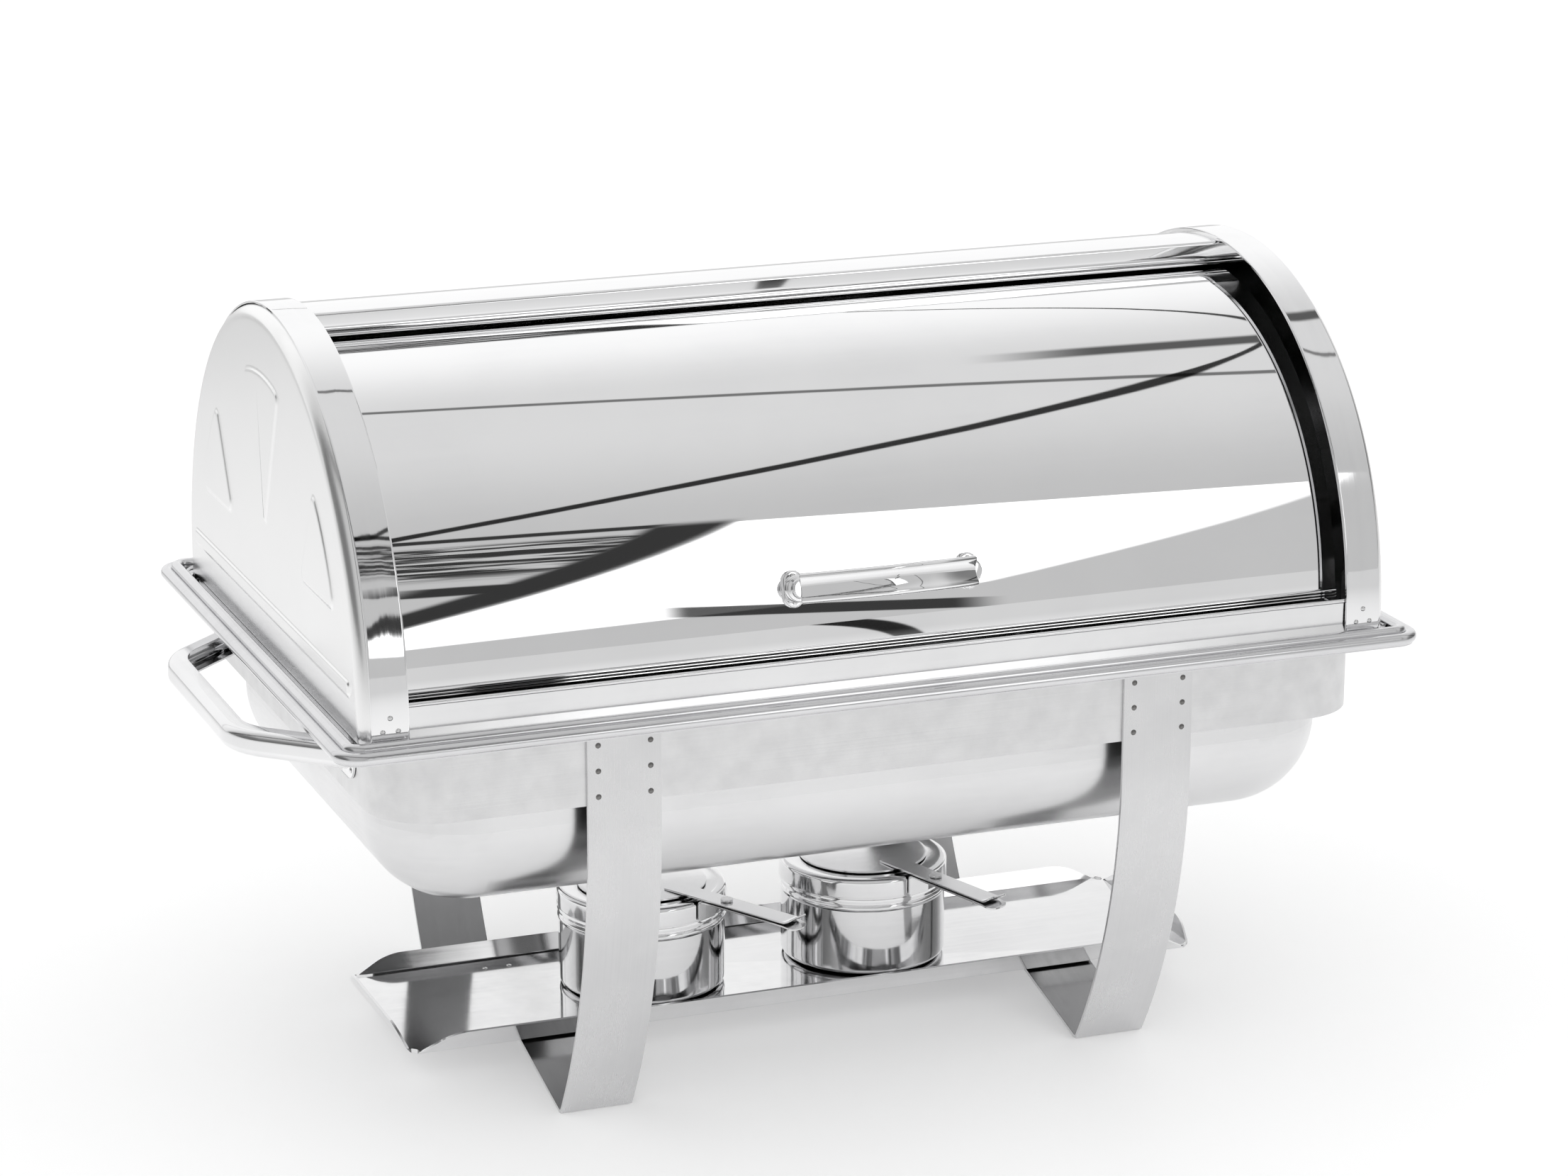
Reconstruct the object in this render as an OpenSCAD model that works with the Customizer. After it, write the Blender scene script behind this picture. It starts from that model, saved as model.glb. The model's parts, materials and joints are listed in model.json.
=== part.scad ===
// Roll top chafer: a table-top food warmer with a half-round rolling cover.
// X runs along the length, the front faces -Y, Z is up and z = 0 is the table.
// All sizes are in millimetres and the cover is drawn closed.

/* [Overall size] */
// Length of the top rim
rim_length = 560; // [480:1:680]
// Width of the top rim, front to back
rim_width = 355; // [300:1:430]
// Height of the underside of the rim above the table
rim_height = 210; // [180:1:255]

/* [Rim and collar] */
// Width of the beaded rim outside the pan recess
rim_shelf = 12; // [9:0.5:16]
// Outer corner radius of the rim
rim_corner = 14; // [13:0.5:24]
// Radius of the outer, lower rim bead
outer_bead = 3.2; // [2:0.1:4]
// Radius of the inner, higher rim bead
inner_bead = 2.8; // [1.5:0.1:3.5]
// Distance from the rim end in to the collar end wall
collar_end_inset = 24; // [18:0.5:32]
// Distance from the rim front in to the collar front wall
collar_side_inset = 13.5; // [11:0.5:18]
// Depth of the collar below the rim
collar_drop = 36; // [28:0.5:46]
// Corner radius of the collar
collar_corner = 34; // [24:1:50]
// Thickness of the pressed sheet parts
sheet = 1.2; // [0.8:0.1:2]

/* [Legs] */
// Distance between the two leg straps, centre to centre
leg_spacing = 277; // [220:1:340]
// Width of a leg strap
leg_width = 37; // [28:0.5:48]
// Thickness of a leg strap
leg_thickness = 2; // [1.5:0.1:3]
// Radius of the long inward curve of a leg
leg_curve = 300; // [250:5:400]
// Slope of the strap between foot and tray, in degrees
leg_slope = 13; // [9:0.5:18]

/* [Fuel tray] */
// Length of the fuel tray floor
tray_length = 430; // [360:1:500]
// Width of the fuel tray floor
tray_width = 114; // [98:1:135]
// Height of the tray floor's underside above the table
tray_height = 16.8; // [14:0.2:22]
// Height of the turned-up tray flanges
tray_flange = 10; // [7:0.5:14]
// Outward lean of the tray flanges, in degrees
tray_lean = 18; // [5:1:30]

/* [Pans] */
// Depth of the water pan below its lip
water_pan_depth = 94; // [70:1:105]
// Depth of the food pan below its lip
food_pan_depth = 65; // [40:1:75]
// Gap between the pan lips and the recess wall
pan_lip_gap = 3; // [2:0.5:5]
// Corner radius of the pan lips
pan_lip_corner = 22; // [16:1:30]

/* [End handles] */
// How far the grip stands out past the rim end
handle_reach = 24; // [16:1:40]
// Length of the straight part of the grip
handle_grip = 100; // [80:1:130]
// Depth of the pressed handle channel
handle_depth = 10; // [8:0.5:14]
// Height of the pressed handle channel
handle_tall = 13; // [10:0.5:17]

/* [Dome] */
// Height of the cover's pivot above the rim underside
pivot_rise = 14; // [11:0.5:24]
// Width of the polished end bands
band_width = 18.5; // [14:0.5:26]
// Edge radius of the pressed end panels
panel_edge = 7.5; // [5:0.5:12]
// Depth of the fixed shell's downturned front lip
shell_lip = 9; // [6:0.5:10]

/* [Roll cover] */
// Radial distance from the band face in to the cover
cover_inset = 15.7; // [14:0.1:20]
// Arc covered by the rolling cover, in degrees
cover_arc = 102; // [96:1:108]

/* [Cover handle] */
// Length of the cover handle over its feet
grip_length = 99; // [80:1:120]
// Distance the grip stands off the cover
grip_standoff = 26; // [20:1:30]
// Height of the grip bar
grip_tall = 14.5; // [11:0.5:18]
// Angle of the handle above the pivot, in degrees
grip_angle = 15.3; // [13:0.1:22]

/* [Burners] */
// Diameter of a burner over its ring
burner_diameter = 88; // [76:1:96]
// Height of a burner without its snuffer
burner_height = 52.8; // [44:0.2:60]
// Position of the left burner along the tray
burner_left = -73; // [-90:1:-60]
// Position of the right burner along the tray
burner_right = 50; // [40:1:80]
// Diameter of the opening in the burner ring
burner_mouth = 60; // [48:1:66]
// Reach of the snuffer lever from the burner's centre
lever_reach = 108; // [96:1:120]
// Width of the snuffer levers
lever_width = 13; // [10:0.5:16]
// Direction of the left lever, in degrees
lever_left_turn = -61; // [-75:1:-50]
// Direction of the right lever, in degrees
lever_right_turn = -71.6; // [-90:0.1:-60]

/* [Hidden] */
$fn = 64;

half_turn = 180;
quarter_turn = 90;
play = 0.4;
run_fit = 0.06;
rim_half = rim_width / 2;
end_half = rim_length / 2;
// Pressed rim and recess
ledge_top = rim_height + 2 * sheet;
recess_length = rim_length - 2 * rim_shelf;
recess_width = rim_width - 2 * rim_shelf;
recess_corner = pan_lip_corner;
recess_slope = 4;
web_top = ledge_top + 2.2;
outer_bead_z = rim_height + outer_bead;
inner_bead_z = ledge_top + 3.6;
inner_bead_in = outer_bead * 2 + 2;
// Pans
lip_length = recess_length - 2 * pan_lip_gap;
lip_width = recess_width - 2 * pan_lip_gap;
water_lip = 1.1;
food_lip = 1.2;
water_top = ledge_top + water_lip;
food_top = water_top + food_lip;
water_length = lip_length - 30;
water_width = lip_width - 15;
water_corner = 50;
water_radius = 45;
food_length = water_length - 10;
food_width = water_width - 10;
food_corner = 44;
food_radius = 20;
ledge_gap = 1.5;
// Collar
collar_length = rim_length - 2 * collar_end_inset;
collar_width = rim_width - 2 * collar_side_inset;
collar_bottom = rim_height - collar_drop;
collar_wall = 1.5;
// Legs
leg_x = leg_spacing / 2;
strap_mid = collar_width / 2 + leg_thickness / 2;
strap_top = rim_height - 2;
curve_top = rim_height - 47;
foot_bend = leg_thickness + 1;
foot_z = foot_bend + leg_thickness / 2;
curve_y = leg_curve - strap_mid;
foot_angle = asin((curve_top - foot_z) / (leg_curve - foot_bend));
foot_y = curve_y - (leg_curve - foot_bend) * cos(foot_angle);
slope_y = foot_y + foot_bend * sin(leg_slope);
slope_z = foot_z - foot_bend * cos(leg_slope);
flat_z = tray_height - leg_thickness / 2;
slope_run = (flat_z - slope_z) / sin(leg_slope);
slope_end = slope_y + slope_run * cos(leg_slope);
// Tray
tray_top = tray_height + sheet;
tray_chamfer = 5;
flange_foot = tray_height + sheet * 0.7;
weld_x = leg_width * 0.352;
weld_pitch = 12.7;
// End handles
handle_z = rim_height - 17;
handle_out = end_half + handle_reach;
handle_turn = 47;
handle_bend = 38;
channel_wall = 1.3;
channel_round = 4.5;
arm_x = handle_out - handle_bend * (1 - cos(handle_turn));
arm_y = handle_grip / 2 + handle_bend * sin(handle_turn);
arm_run = (arm_x - collar_length / 2 - sheet) / sin(handle_turn);
foot_plate_y = arm_y + arm_run * cos(handle_turn);
plate_long = 24;
plate_tall = 19;
// Dome
axis_z = rim_height + pivot_rise;
lid_bottom = food_top + play;
panel_x = lip_length / 2;
panel_r = lip_width / 2;
band_r = panel_r + sheet;
emboss = 1;
band_out = panel_x - panel_edge + 3;
band_in = band_out - band_width;
shell_r = panel_r - sheet;
shell_edge = 10;
shell_bead = 1.8;
shell_half = panel_x - panel_edge;
lid_drop = axis_z - lid_bottom;
skirt_top = axis_z + 8.3;
skirt_fold = axis_z - 3.5;
skirt_out = 1.7;
fan_r = band_r * 0.81;
fan_low = 43;
rib_low = 9;
rib_tall = 9.5;
rib_half = band_r * 0.89;
// Pivot
pin_r = 4;
pin_head_r = 6.5;
spacer_r = 6;
hub_r = 7.6;
weld_flange_r = 8.2;
// Cover
cover_r = band_r - cover_inset;
cover_half = band_in + 2;
cover_start = 2;
end_plate = 1.5;
end_face = cover_half - end_plate;
end_ring = 9;
spoke_width = 12;
hem_big = 2.2;
hem_small = 1.4;
tab_in = cover_half + 3.5;
tab_y = cover_r - 2;
tab_top = axis_z + 23.5;
tab_round = 8;
// Cover handle
foot_wide = 11;
foot_tall = 18;
foot_thick = 3;
post_x = grip_length / 2 - foot_wide / 2;
post_r = 5.2;
grip_thick = 5;
grip_bow = 12;
grip_r = (post_x * post_x + grip_bow * grip_bow) / (2 * grip_bow);
grip_sweep = asin(post_x / grip_r);
grip_mid = grip_standoff - grip_thick / 2;
post_end = grip_mid - grip_bow + 1;
// Burners
burner_base = tray_top + play;
burner_r = burner_diameter / 2;
ring_top = burner_base + burner_height;
ring_tall = 12.4;
ring_bottom = ring_top - ring_tall;
ring_wall = 1;
cup_r = burner_r - ring_wall;
cup_round = 3;
cup_bead = 1.4;
snuffer_r = burner_mouth / 2 + 4;
disc_bottom = ring_top + play;
disc_top = disc_bottom + 1;
strip = 1.2;
bracket_bottom = ring_top - 0.2;
bracket_top = disc_top - play;
upper_top = disc_top + strip;
pivot_reach = burner_r + 14;
rivet_r = 1.9;
rivet_head = 3.2;
rivet_cap = 0.9;
lever_start = 20;
upper_end = lever_reach - 7;
thumb = 6;
thumb_lift = 35;

// A closed profile run straight along X, its own x pointing along +Y
module along_x(span)
    rotate([quarter_turn, 0, quarter_turn])
        translate([0, 0, -span / 2]) linear_extrude(span) children();

// A profile carried round a rounded rectangle, its x measured outward from the edge
module rounded_loop(length, width, corner) {
    for (turn = [0, half_turn]) rotate(turn) {
        translate([0, width / 2, 0]) along_x(length - 2 * corner) children();
        translate([length / 2, 0, 0]) rotate(-quarter_turn)
            along_x(width - 2 * corner) children();
    }
    for (side = [0, 1], end = [0, 1])
        mirror([end, 0, 0]) mirror([0, side, 0])
            translate([length / 2 - corner, width / 2 - corner, 0])
                rotate_extrude(angle = quarter_turn) translate([corner, 0]) children();
}

// A flat rounded rectangle
module rounded_rect(length, width, corner) {
    square([length - 2 * corner, width], center = true);
    square([length, width - 2 * corner], center = true);
    for (x = [-1, 1], y = [-1, 1])
        translate([x * (length / 2 - corner), y * (width / 2 - corner)]) circle(corner);
}

// A rounded rectangle plate between two heights
module plate(length, width, corner, low, high)
    translate([0, 0, low]) linear_extrude(high - low) rounded_rect(length, width, corner);

module rim_frame() color("silver") {
    difference() {
        union() {
            plate(rim_length - outer_bead, rim_width - outer_bead,
                rim_corner - outer_bead / 2, rim_height, ledge_top);
            plate(rim_length - outer_bead, rim_width - outer_bead,
                rim_corner - outer_bead / 2, ledge_top, web_top);
            rounded_loop(rim_length, rim_width, rim_corner)
                translate([-outer_bead, outer_bead_z]) circle(outer_bead);
            rounded_loop(rim_length, rim_width, rim_corner)
                translate([-inner_bead_in, inner_bead_z]) circle(inner_bead);
        }
        plate(recess_length, recess_width, recess_corner, ledge_top,
            rim_height + 4 * recess_slope);
        plate(water_length + 2 * ledge_gap, water_width + 2 * ledge_gap,
            water_corner + ledge_gap, rim_height - 1, ledge_top + 1);
    }
    rounded_loop(recess_length, recess_width, recess_corner)
        polygon([[0, ledge_top], [recess_slope, ledge_top],
            [recess_slope, ledge_top + recess_slope]]);
}

module collar() color("lightgray")
    difference() {
        plate(collar_length, collar_width, collar_corner, collar_bottom, rim_height);
        plate(collar_length - 2 * collar_wall, collar_width - 2 * collar_wall,
            collar_corner - collar_wall, collar_bottom - 1, rim_height + 1);
    }

// Points along an arc about a centre, turning from one angle to another
function arc_points(y, z, radius, from, to, steps) = [for (step = [0:steps])
    [y + radius * cos(from + (to - from) * step / steps),
        z + radius * sin(from + (to - from) * step / steps)]];

// The front line of a leg strap from its top to the tray, moved out from its middle
function strap_line(out) = concat([[-strap_mid - out, strap_top]],
    arc_points(curve_y, curve_top, leg_curve + out, half_turn, half_turn + foot_angle, 24),
    arc_points(foot_y, foot_z, foot_bend + out, half_turn + foot_angle,
        half_turn + quarter_turn + leg_slope, 8),
    [[slope_end + out * tan(leg_slope / 2), flat_z - out]]);

// The same line from front to rear
function strap_loop(out) = let (front = strap_line(out), count = len(front))
    concat(front, [for (i = [count - 1:-1:0]) [-front[i][0], front[i][1]]]);

// A whole leg strap seen from the end
module strap_outline() {
    inner = strap_loop(-leg_thickness / 2);
    polygon(concat(strap_loop(leg_thickness / 2),
        [for (i = [len(inner) - 1:-1:0]) inner[i]]));
}

module leg_at(x) color("silver")
    translate([x, 0, 0]) along_x(leg_width) strap_outline();

module leg_left() leg_at(-leg_x);

module leg_right() leg_at(leg_x);

// Low round buttons, sunk so that only a cap stands out
module weld_cap(size) scale(size) intersection() {
    translate([0, 0, -1.4]) sphere(2);
    translate([-2, -2, 0]) cube([4, 4, 2]);
}

module leg_welds() color("gray")
    for (leg = [-1, 1], column = [-1, 1], row = [0, 1, 2], side = [0, half_turn])
        rotate(side)
            translate([leg * leg_x + column * weld_x, -strap_mid - leg_thickness / 2,
                rim_height - 6 - row * weld_pitch])
                rotate([quarter_turn, 0, 0]) weld_cap(1);

// One flange of the tray, standing on its fold with rounded upper corners
module tray_flange_at(span) rotate([tray_lean, 0, 0])
    rotate([quarter_turn, 0, 0]) linear_extrude(sheet) {
        translate([-span / 2 + tray_flange, 0]) square([span - 2 * tray_flange, tray_flange]);
        for (side = [0, 1]) mirror([side, 0]) intersection() {
            translate([-span / 2 + tray_flange, 0]) circle(tray_flange);
            translate([-span, 0]) square([span, tray_flange]);
        }
    }

module fuel_tray() color("gainsboro") {
    translate([0, 0, tray_height]) linear_extrude(sheet)
        difference() {
            square([tray_length, tray_width], center = true);
            for (x = [-1, 1], y = [-1, 1])
                translate([x * tray_length / 2, y * tray_width / 2])
                    rotate(quarter_turn / 2) square(tray_chamfer, center = true);
        }
    for (turn = [0, half_turn]) rotate(turn) {
        translate([0, -tray_width / 2 + sheet, flange_foot])
            tray_flange_at(tray_length - 2 * tray_chamfer);
        translate([-tray_length / 2 + sheet, 0, flange_foot]) rotate(-quarter_turn)
            tray_flange_at(tray_width - 2 * tray_chamfer);
    }
}

module tray_welds() color("gray")
    for (leg = [-1, 1], column = [-1, 1], side = [-1, 1])
        translate([leg * leg_x + column * weld_x / 2, side * tray_width * 0.37, tray_top])
            weld_cap(1);

// The pressed channel of a handle, round outside and open towards the body
module channel_profile() difference() {
    union() {
        translate([-handle_depth, -handle_tall / 2])
            square([handle_depth - channel_round, handle_tall]);
        translate([-channel_round, -handle_tall / 2 + channel_round])
            square([channel_round, handle_tall - 2 * channel_round]);
        for (side = [-1, 1])
            translate([-channel_round, side * (handle_tall / 2 - channel_round)])
                circle(channel_round);
    }
    translate([-2 * handle_depth, -handle_tall / 2 + channel_wall])
        square([2 * handle_depth - channel_wall, handle_tall - 2 * channel_wall]);
}

// One end handle on the +X end
module end_handle() {
    translate([handle_out, 0, handle_z]) rotate(-quarter_turn)
        along_x(handle_grip) channel_profile();
    for (side = [0, 1]) mirror([0, side, 0]) {
        translate([handle_out - handle_bend, handle_grip / 2, handle_z])
            rotate_extrude(angle = handle_turn)
                translate([handle_bend, 0]) channel_profile();
        intersection() {
            translate([arm_x, arm_y, handle_z]) rotate(handle_turn - quarter_turn)
                translate([-arm_run, 0, 0]) along_x(2 * arm_run) channel_profile();
            translate([collar_length / 2, 0, 0]) cube([end_half, rim_half, rim_height]);
        }
        translate([collar_length / 2, foot_plate_y, handle_z])
            rotate([quarter_turn, 0, quarter_turn]) linear_extrude(sheet) {
                translate([-plate_long / 2, -plate_tall / 2])
                    square([plate_long / 2, plate_tall]);
                square([plate_long / 4, plate_tall], center = true);
                intersection() {
                    circle(plate_tall / 2);
                    translate([0, -plate_tall]) square(2 * plate_tall);
                }
            }
    }
}

module handle_left() color("silver") mirror([1, 0, 0]) end_handle();

module handle_right() color("silver") end_handle();

module handle_welds() color("gray")
    for (end = [0, 1], side = [-1, 1], row = [-1, 1]) mirror([end, 0, 0])
        translate([collar_length / 2 + sheet, side * (foot_plate_y + plate_tall * 0.2),
            handle_z + row * plate_tall / 4])
            rotate([0, quarter_turn, 0]) weld_cap(1);

// The wall of a pan from its bottom to its top, x measured outward from the wall
module pan_wall(bottom, top, radius) {
    translate([-sheet, bottom + radius]) square([sheet, top - bottom - radius]);
    intersection() {
        translate([-radius, bottom + radius]) difference() {
            circle(radius);
            circle(radius - sheet);
        }
        translate([-radius, bottom]) square(radius);
    }
}

// A pressed pan with a flat lip
module pan(length, width, corner, radius, bottom, lip_low, lip_high) {
    rounded_loop(length, width, corner) pan_wall(bottom, lip_high, radius);
    plate(length - 2 * radius, width - 2 * radius, corner - radius, bottom, bottom + sheet);
    difference() {
        plate(lip_length, lip_width, pan_lip_corner, lip_low, lip_high);
        plate(length - sheet, width - sheet, corner - sheet / 2, lip_low - 1, lip_high + 1);
    }
}

module water_pan() color("whitesmoke")
    pan(water_length, water_width, water_corner, water_radius,
        ledge_top - water_pan_depth, ledge_top, water_top);

module food_pan() color("gainsboro")
    pan(food_length, food_width, food_corner, food_radius,
        water_top - food_pan_depth, water_top, food_top);

// The rounded edge of an end panel and the flange it turns into, outward along x
module panel_edge_profile() {
    intersection() {
        translate([panel_r - panel_edge, panel_x - panel_edge]) difference() {
            circle(panel_edge);
            circle(panel_edge - sheet);
        }
        translate([panel_r - panel_edge, panel_x - panel_edge]) square(panel_edge);
    }
    translate([panel_r - sheet, band_in + 1])
        square([sheet, panel_x - panel_edge - band_in - 1]);
}

// The raised fan pattern of an end panel, drawn about the pivot
module fan_pattern() {
    intersection() {
        circle(fan_r);
        polygon([[0, fan_low + 8], [-fan_r * 0.29, fan_r], [fan_r * 0.29, fan_r]]);
    }
    for (side = [0, 1]) mirror([side, 0]) intersection() {
        circle(fan_r);
        polygon([[fan_r * 0.46, fan_low], [fan_r * 0.67, fan_r * 0.73],
            [fan_r, fan_r * 0.73], [fan_r, fan_low]]);
    }
    translate([-rib_half, rib_low]) square([2 * rib_half, rib_tall]);
}

// One end panel on the +X end
module end_panel() {
    translate([0, 0, axis_z]) rotate([quarter_turn, 0, quarter_turn]) {
        rotate_extrude(angle = half_turn) panel_edge_profile();
        translate([0, 0, panel_x - sheet]) linear_extrude(sheet) {
            intersection() {
                circle(panel_r - panel_edge);
                translate([-panel_r, 0]) square([2 * panel_r, panel_r]);
            }
            translate([-panel_r + panel_edge, -lid_drop])
                square([2 * (panel_r - panel_edge), lid_drop]);
        }
        translate([0, 0, panel_x]) linear_extrude(emboss) fan_pattern();
        for (side = [0, 1]) mirror([side, 0, 0])
            rotate([quarter_turn, 0, 0]) linear_extrude(lid_drop) panel_edge_profile();
    }
}

module end_panel_left() color("white") mirror([1, 0, 0]) end_panel();

module end_panel_right() color("white") end_panel();

// One polished band on the +X end
module end_band()
    translate([0, 0, axis_z]) rotate([quarter_turn, 0, quarter_turn]) {
        rotate_extrude(angle = half_turn)
            translate([panel_r, band_in]) square([sheet, band_width]);
        for (side = [0, 1]) mirror([side, 0, 0])
            translate([panel_r, -lid_drop, band_in]) cube([sheet, lid_drop, band_width]);
    }

module end_band_left() color("silver") mirror([1, 0, 0]) end_band();

module end_band_right() color("silver") end_band();

module band_welds() color("gray")
    for (end = [-1, 1], side = [0, half_turn], spot = [[0, 4], [-0.2, -2.5], [0.2, -2.5]])
        rotate(side)
            translate([end * (band_in + band_width / 2) + spot[0] * band_width, -band_r,
                axis_z + spot[1]])
                rotate([quarter_turn, 0, 0]) weld_cap(0.9);

module front_skirt() color("white") {
    along_x(2 * shell_half)
        translate([-shell_r, skirt_fold]) square([sheet, skirt_top - skirt_fold]);
    along_x(2 * band_in) {
        translate([-shell_r + sheet / 2, skirt_top]) circle(sheet * 0.95);
        polygon([[-shell_r + sheet, skirt_fold], [-shell_r + sheet - skirt_out, lid_bottom],
            [-shell_r - skirt_out, lid_bottom], [-shell_r, skirt_fold]]);
    }
}

module rear_shell() color("silver")
    along_x(2 * shell_half) {
        translate([0, axis_z]) intersection() {
            difference() {
                circle(shell_r);
                circle(shell_r - sheet);
            }
            translate([-shell_edge, 0]) square(2 * shell_r);
        }
        translate([shell_r - sheet, lid_bottom]) square([sheet, lid_drop]);
        translate([-shell_edge, axis_z + shell_r - shell_lip - sheet])
            square([sheet, shell_lip + sheet / 2]);
        translate([-shell_edge + sheet / 2, axis_z + shell_r - shell_lip - sheet])
            circle(shell_bead);
    }

// One pivot pin on the +X end: head, shaft, spacer and weld flange
module pivot_pin() translate([0, 0, axis_z]) rotate([0, quarter_turn, 0]) {
    translate([0, 0, end_face - play - 2.4]) cylinder(r = pin_head_r, h = 2.4);
    translate([0, 0, end_face - play - 2.4])
        cylinder(r = pin_r, h = panel_x - sheet - end_face + play + 2.4);
    translate([0, 0, cover_half + play])
        cylinder(r = spacer_r, h = panel_x - sheet - cover_half - play);
    translate([0, 0, panel_x - 2.5 * sheet]) cylinder(r = weld_flange_r, h = 1.5 * sheet);
}

module pivot_pin_left() color("gray") mirror([1, 0, 0]) pivot_pin();

module pivot_pin_right() color("gray") pivot_pin();

module stop_tabs() color("gray")
    for (end = [0, 1]) mirror([end, 0, 0])
        translate([0, -tab_y, 0]) rotate([quarter_turn, 0, 0]) linear_extrude(sheet) {
            translate([tab_in, lid_bottom + 1])
                square([panel_x - sheet - tab_in, tab_top - tab_round - lid_bottom - 1]);
            translate([tab_in + tab_round, lid_bottom + 1])
                square([panel_x - sheet - tab_in - tab_round, tab_top - lid_bottom - 1]);
            translate([tab_in + tab_round, tab_top - tab_round]) circle(tab_round);
        }

// A wedge of the cover's arc, measured up from the front over the top
module cover_wedge(reach) polygon([[0, 0],
    [-reach * cos(cover_start), reach * sin(cover_start)],
    [-reach * cos(cover_arc / 2), reach * sin(cover_arc / 2)],
    [-reach * cos(cover_start + cover_arc), reach * sin(cover_start + cover_arc)]]);

// A point on the middle of the cover sheet at an angle up from the front
module on_sheet(angle)
    translate([-(cover_r - sheet / 2) * cos(angle),
        axis_z + (cover_r - sheet / 2) * sin(angle)]) children();

// The cover sheet with its folded hem and the small bead above it
module roll_cover() color("silver")
    along_x(2 * cover_half) {
        translate([0, axis_z]) intersection() {
            difference() {
                circle(cover_r);
                circle(cover_r - sheet);
            }
            cover_wedge(2 * cover_r);
        }
        difference() {
            on_sheet(cover_start) circle(hem_big);
            translate([0, axis_z]) circle(cover_r - sheet);
        }
        difference() {
            on_sheet(cover_start + 1.6) translate([-sheet / 2, 0]) circle(hem_small);
            translate([0, axis_z]) circle(cover_r - sheet);
        }
    }

// One end ring of the cover on the +X end, with two spokes and a hub
module cover_end()
    translate([end_face, 0, axis_z]) rotate([quarter_turn, 0, quarter_turn])
        linear_extrude(end_plate) difference() {
            union() {
                intersection() {
                    difference() {
                        circle(cover_r - sheet);
                        circle(cover_r - sheet - end_ring);
                    }
                    cover_wedge(2 * cover_r);
                }
                circle(hub_r);
                for (spoke = [20, 95]) rotate(half_turn - spoke)
                    translate([0, -spoke_width / 2])
                        square([cover_r - sheet - end_ring / 2, spoke_width]);
            }
            circle(pin_r + run_fit);
        }

module cover_end_left() color("gray") mirror([1, 0, 0]) cover_end();

module cover_end_right() color("gray") cover_end();

// Places its children on the outside of the cover, outward along -Y
module on_cover() translate([0, 0, axis_z]) rotate([-grip_angle, 0, 0])
    translate([0, -cover_r, 0]) children();

module cover_handle() color("silver") on_cover() {
    for (side = [-1, 1]) {
        translate([side * post_x, 0, 0]) rotate([quarter_turn, 0, 0])
            linear_extrude(foot_thick)
                rounded_rect(foot_wide, foot_tall, foot_wide * 0.45);
        translate([side * post_x, -foot_thick, 0]) rotate([quarter_turn, 0, 0])
            cylinder(r = post_r, h = post_end - foot_thick);
        translate([side * post_x, -foot_thick - 2, 0]) rotate([quarter_turn, 0, 0])
            cylinder(r = post_r + 1.2, h = 2);
    }
    translate([0, -grip_mid + grip_r, 0])
        rotate(-quarter_turn - grip_sweep) rotate_extrude(angle = 2 * grip_sweep)
            translate([grip_r, 0])
                rounded_rect(grip_thick, grip_tall, grip_thick * 0.45);
}

module handle_rivets() color("gray") on_cover()
    for (side = [-1, 1], row = [-1, 1])
        translate([side * (post_x + foot_wide * 0.12), -foot_thick,
            row * foot_tall * 0.36])
            rotate([quarter_turn, 0, 0]) weld_cap(0.75);

// The cup of a burner, with a bead under the ring
module burner_cup() {
    rotate_extrude() difference() {
        union() {
            translate([0, burner_base]) square([cup_r - cup_round, cup_round]);
            translate([cup_r - cup_round, burner_base + cup_round]) circle(cup_round);
            translate([0, burner_base + cup_round])
                square([cup_r, ring_bottom + ring_tall / 2 - burner_base - cup_round]);
            translate([cup_r - cup_bead / 2, ring_bottom - cup_bead - 0.2])
                circle(cup_bead);
        }
        translate([-1, burner_base + ring_wall])
            square([cup_r - ring_wall + 1, burner_height]);
        translate([-burner_r, burner_base - 1]) square([burner_r, burner_height]);
    }
}

// The ring that closes a burner's cup, with pressed dimples round its side
module burner_ring() difference() {
    rotate_extrude() difference() {
        union() {
            translate([burner_mouth / 2, ring_bottom])
                square([burner_r - burner_mouth / 2 - 2, ring_tall]);
            translate([burner_mouth / 2, ring_bottom])
                square([burner_r - burner_mouth / 2, ring_tall - 2]);
            translate([burner_r - 2, ring_top - 2]) circle(2);
        }
        translate([burner_mouth / 2 - 1, ring_bottom - 1])
            square([cup_r - burner_mouth / 2 + 1, ring_tall + 1 - ring_wall]);
    }
    for (turn = [20, 140, 230]) rotate(turn)
        translate([burner_r + 1.9, 0, ring_bottom + ring_tall / 2]) sphere(2.5);
}

// The fixed lower lever with the tab that holds it to the ring, along +X
module lever_bracket() {
    translate([burner_r, -lever_width / 2, ring_bottom + 2])
        cube([strip, lever_width, bracket_top - ring_bottom - 2]);
    difference() {
        translate([0, 0, bracket_bottom + 0.4]) linear_extrude(bracket_top - bracket_bottom - 0.4) {
            translate([burner_r, -lever_width / 2])
                square([lever_reach - burner_r - lever_width / 2, lever_width]);
            translate([lever_reach - lever_width / 2, 0]) circle(lever_width / 2);
        }
        translate([pivot_reach, 0, 0]) cylinder(r = rivet_r, h = 2 * ring_top);
    }
}

// The rivet that both levers turn on, along +X
module lever_rivet() translate([pivot_reach, 0, 0]) {
    translate([0, 0, bracket_bottom - rivet_cap + 0.4]) cylinder(r = rivet_head, h = rivet_cap);
    translate([0, 0, bracket_bottom]) cylinder(r = rivet_r, h = upper_top + play - bracket_bottom);
    translate([0, 0, upper_top + play]) cylinder(r = rivet_head, h = rivet_cap);
}

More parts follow.
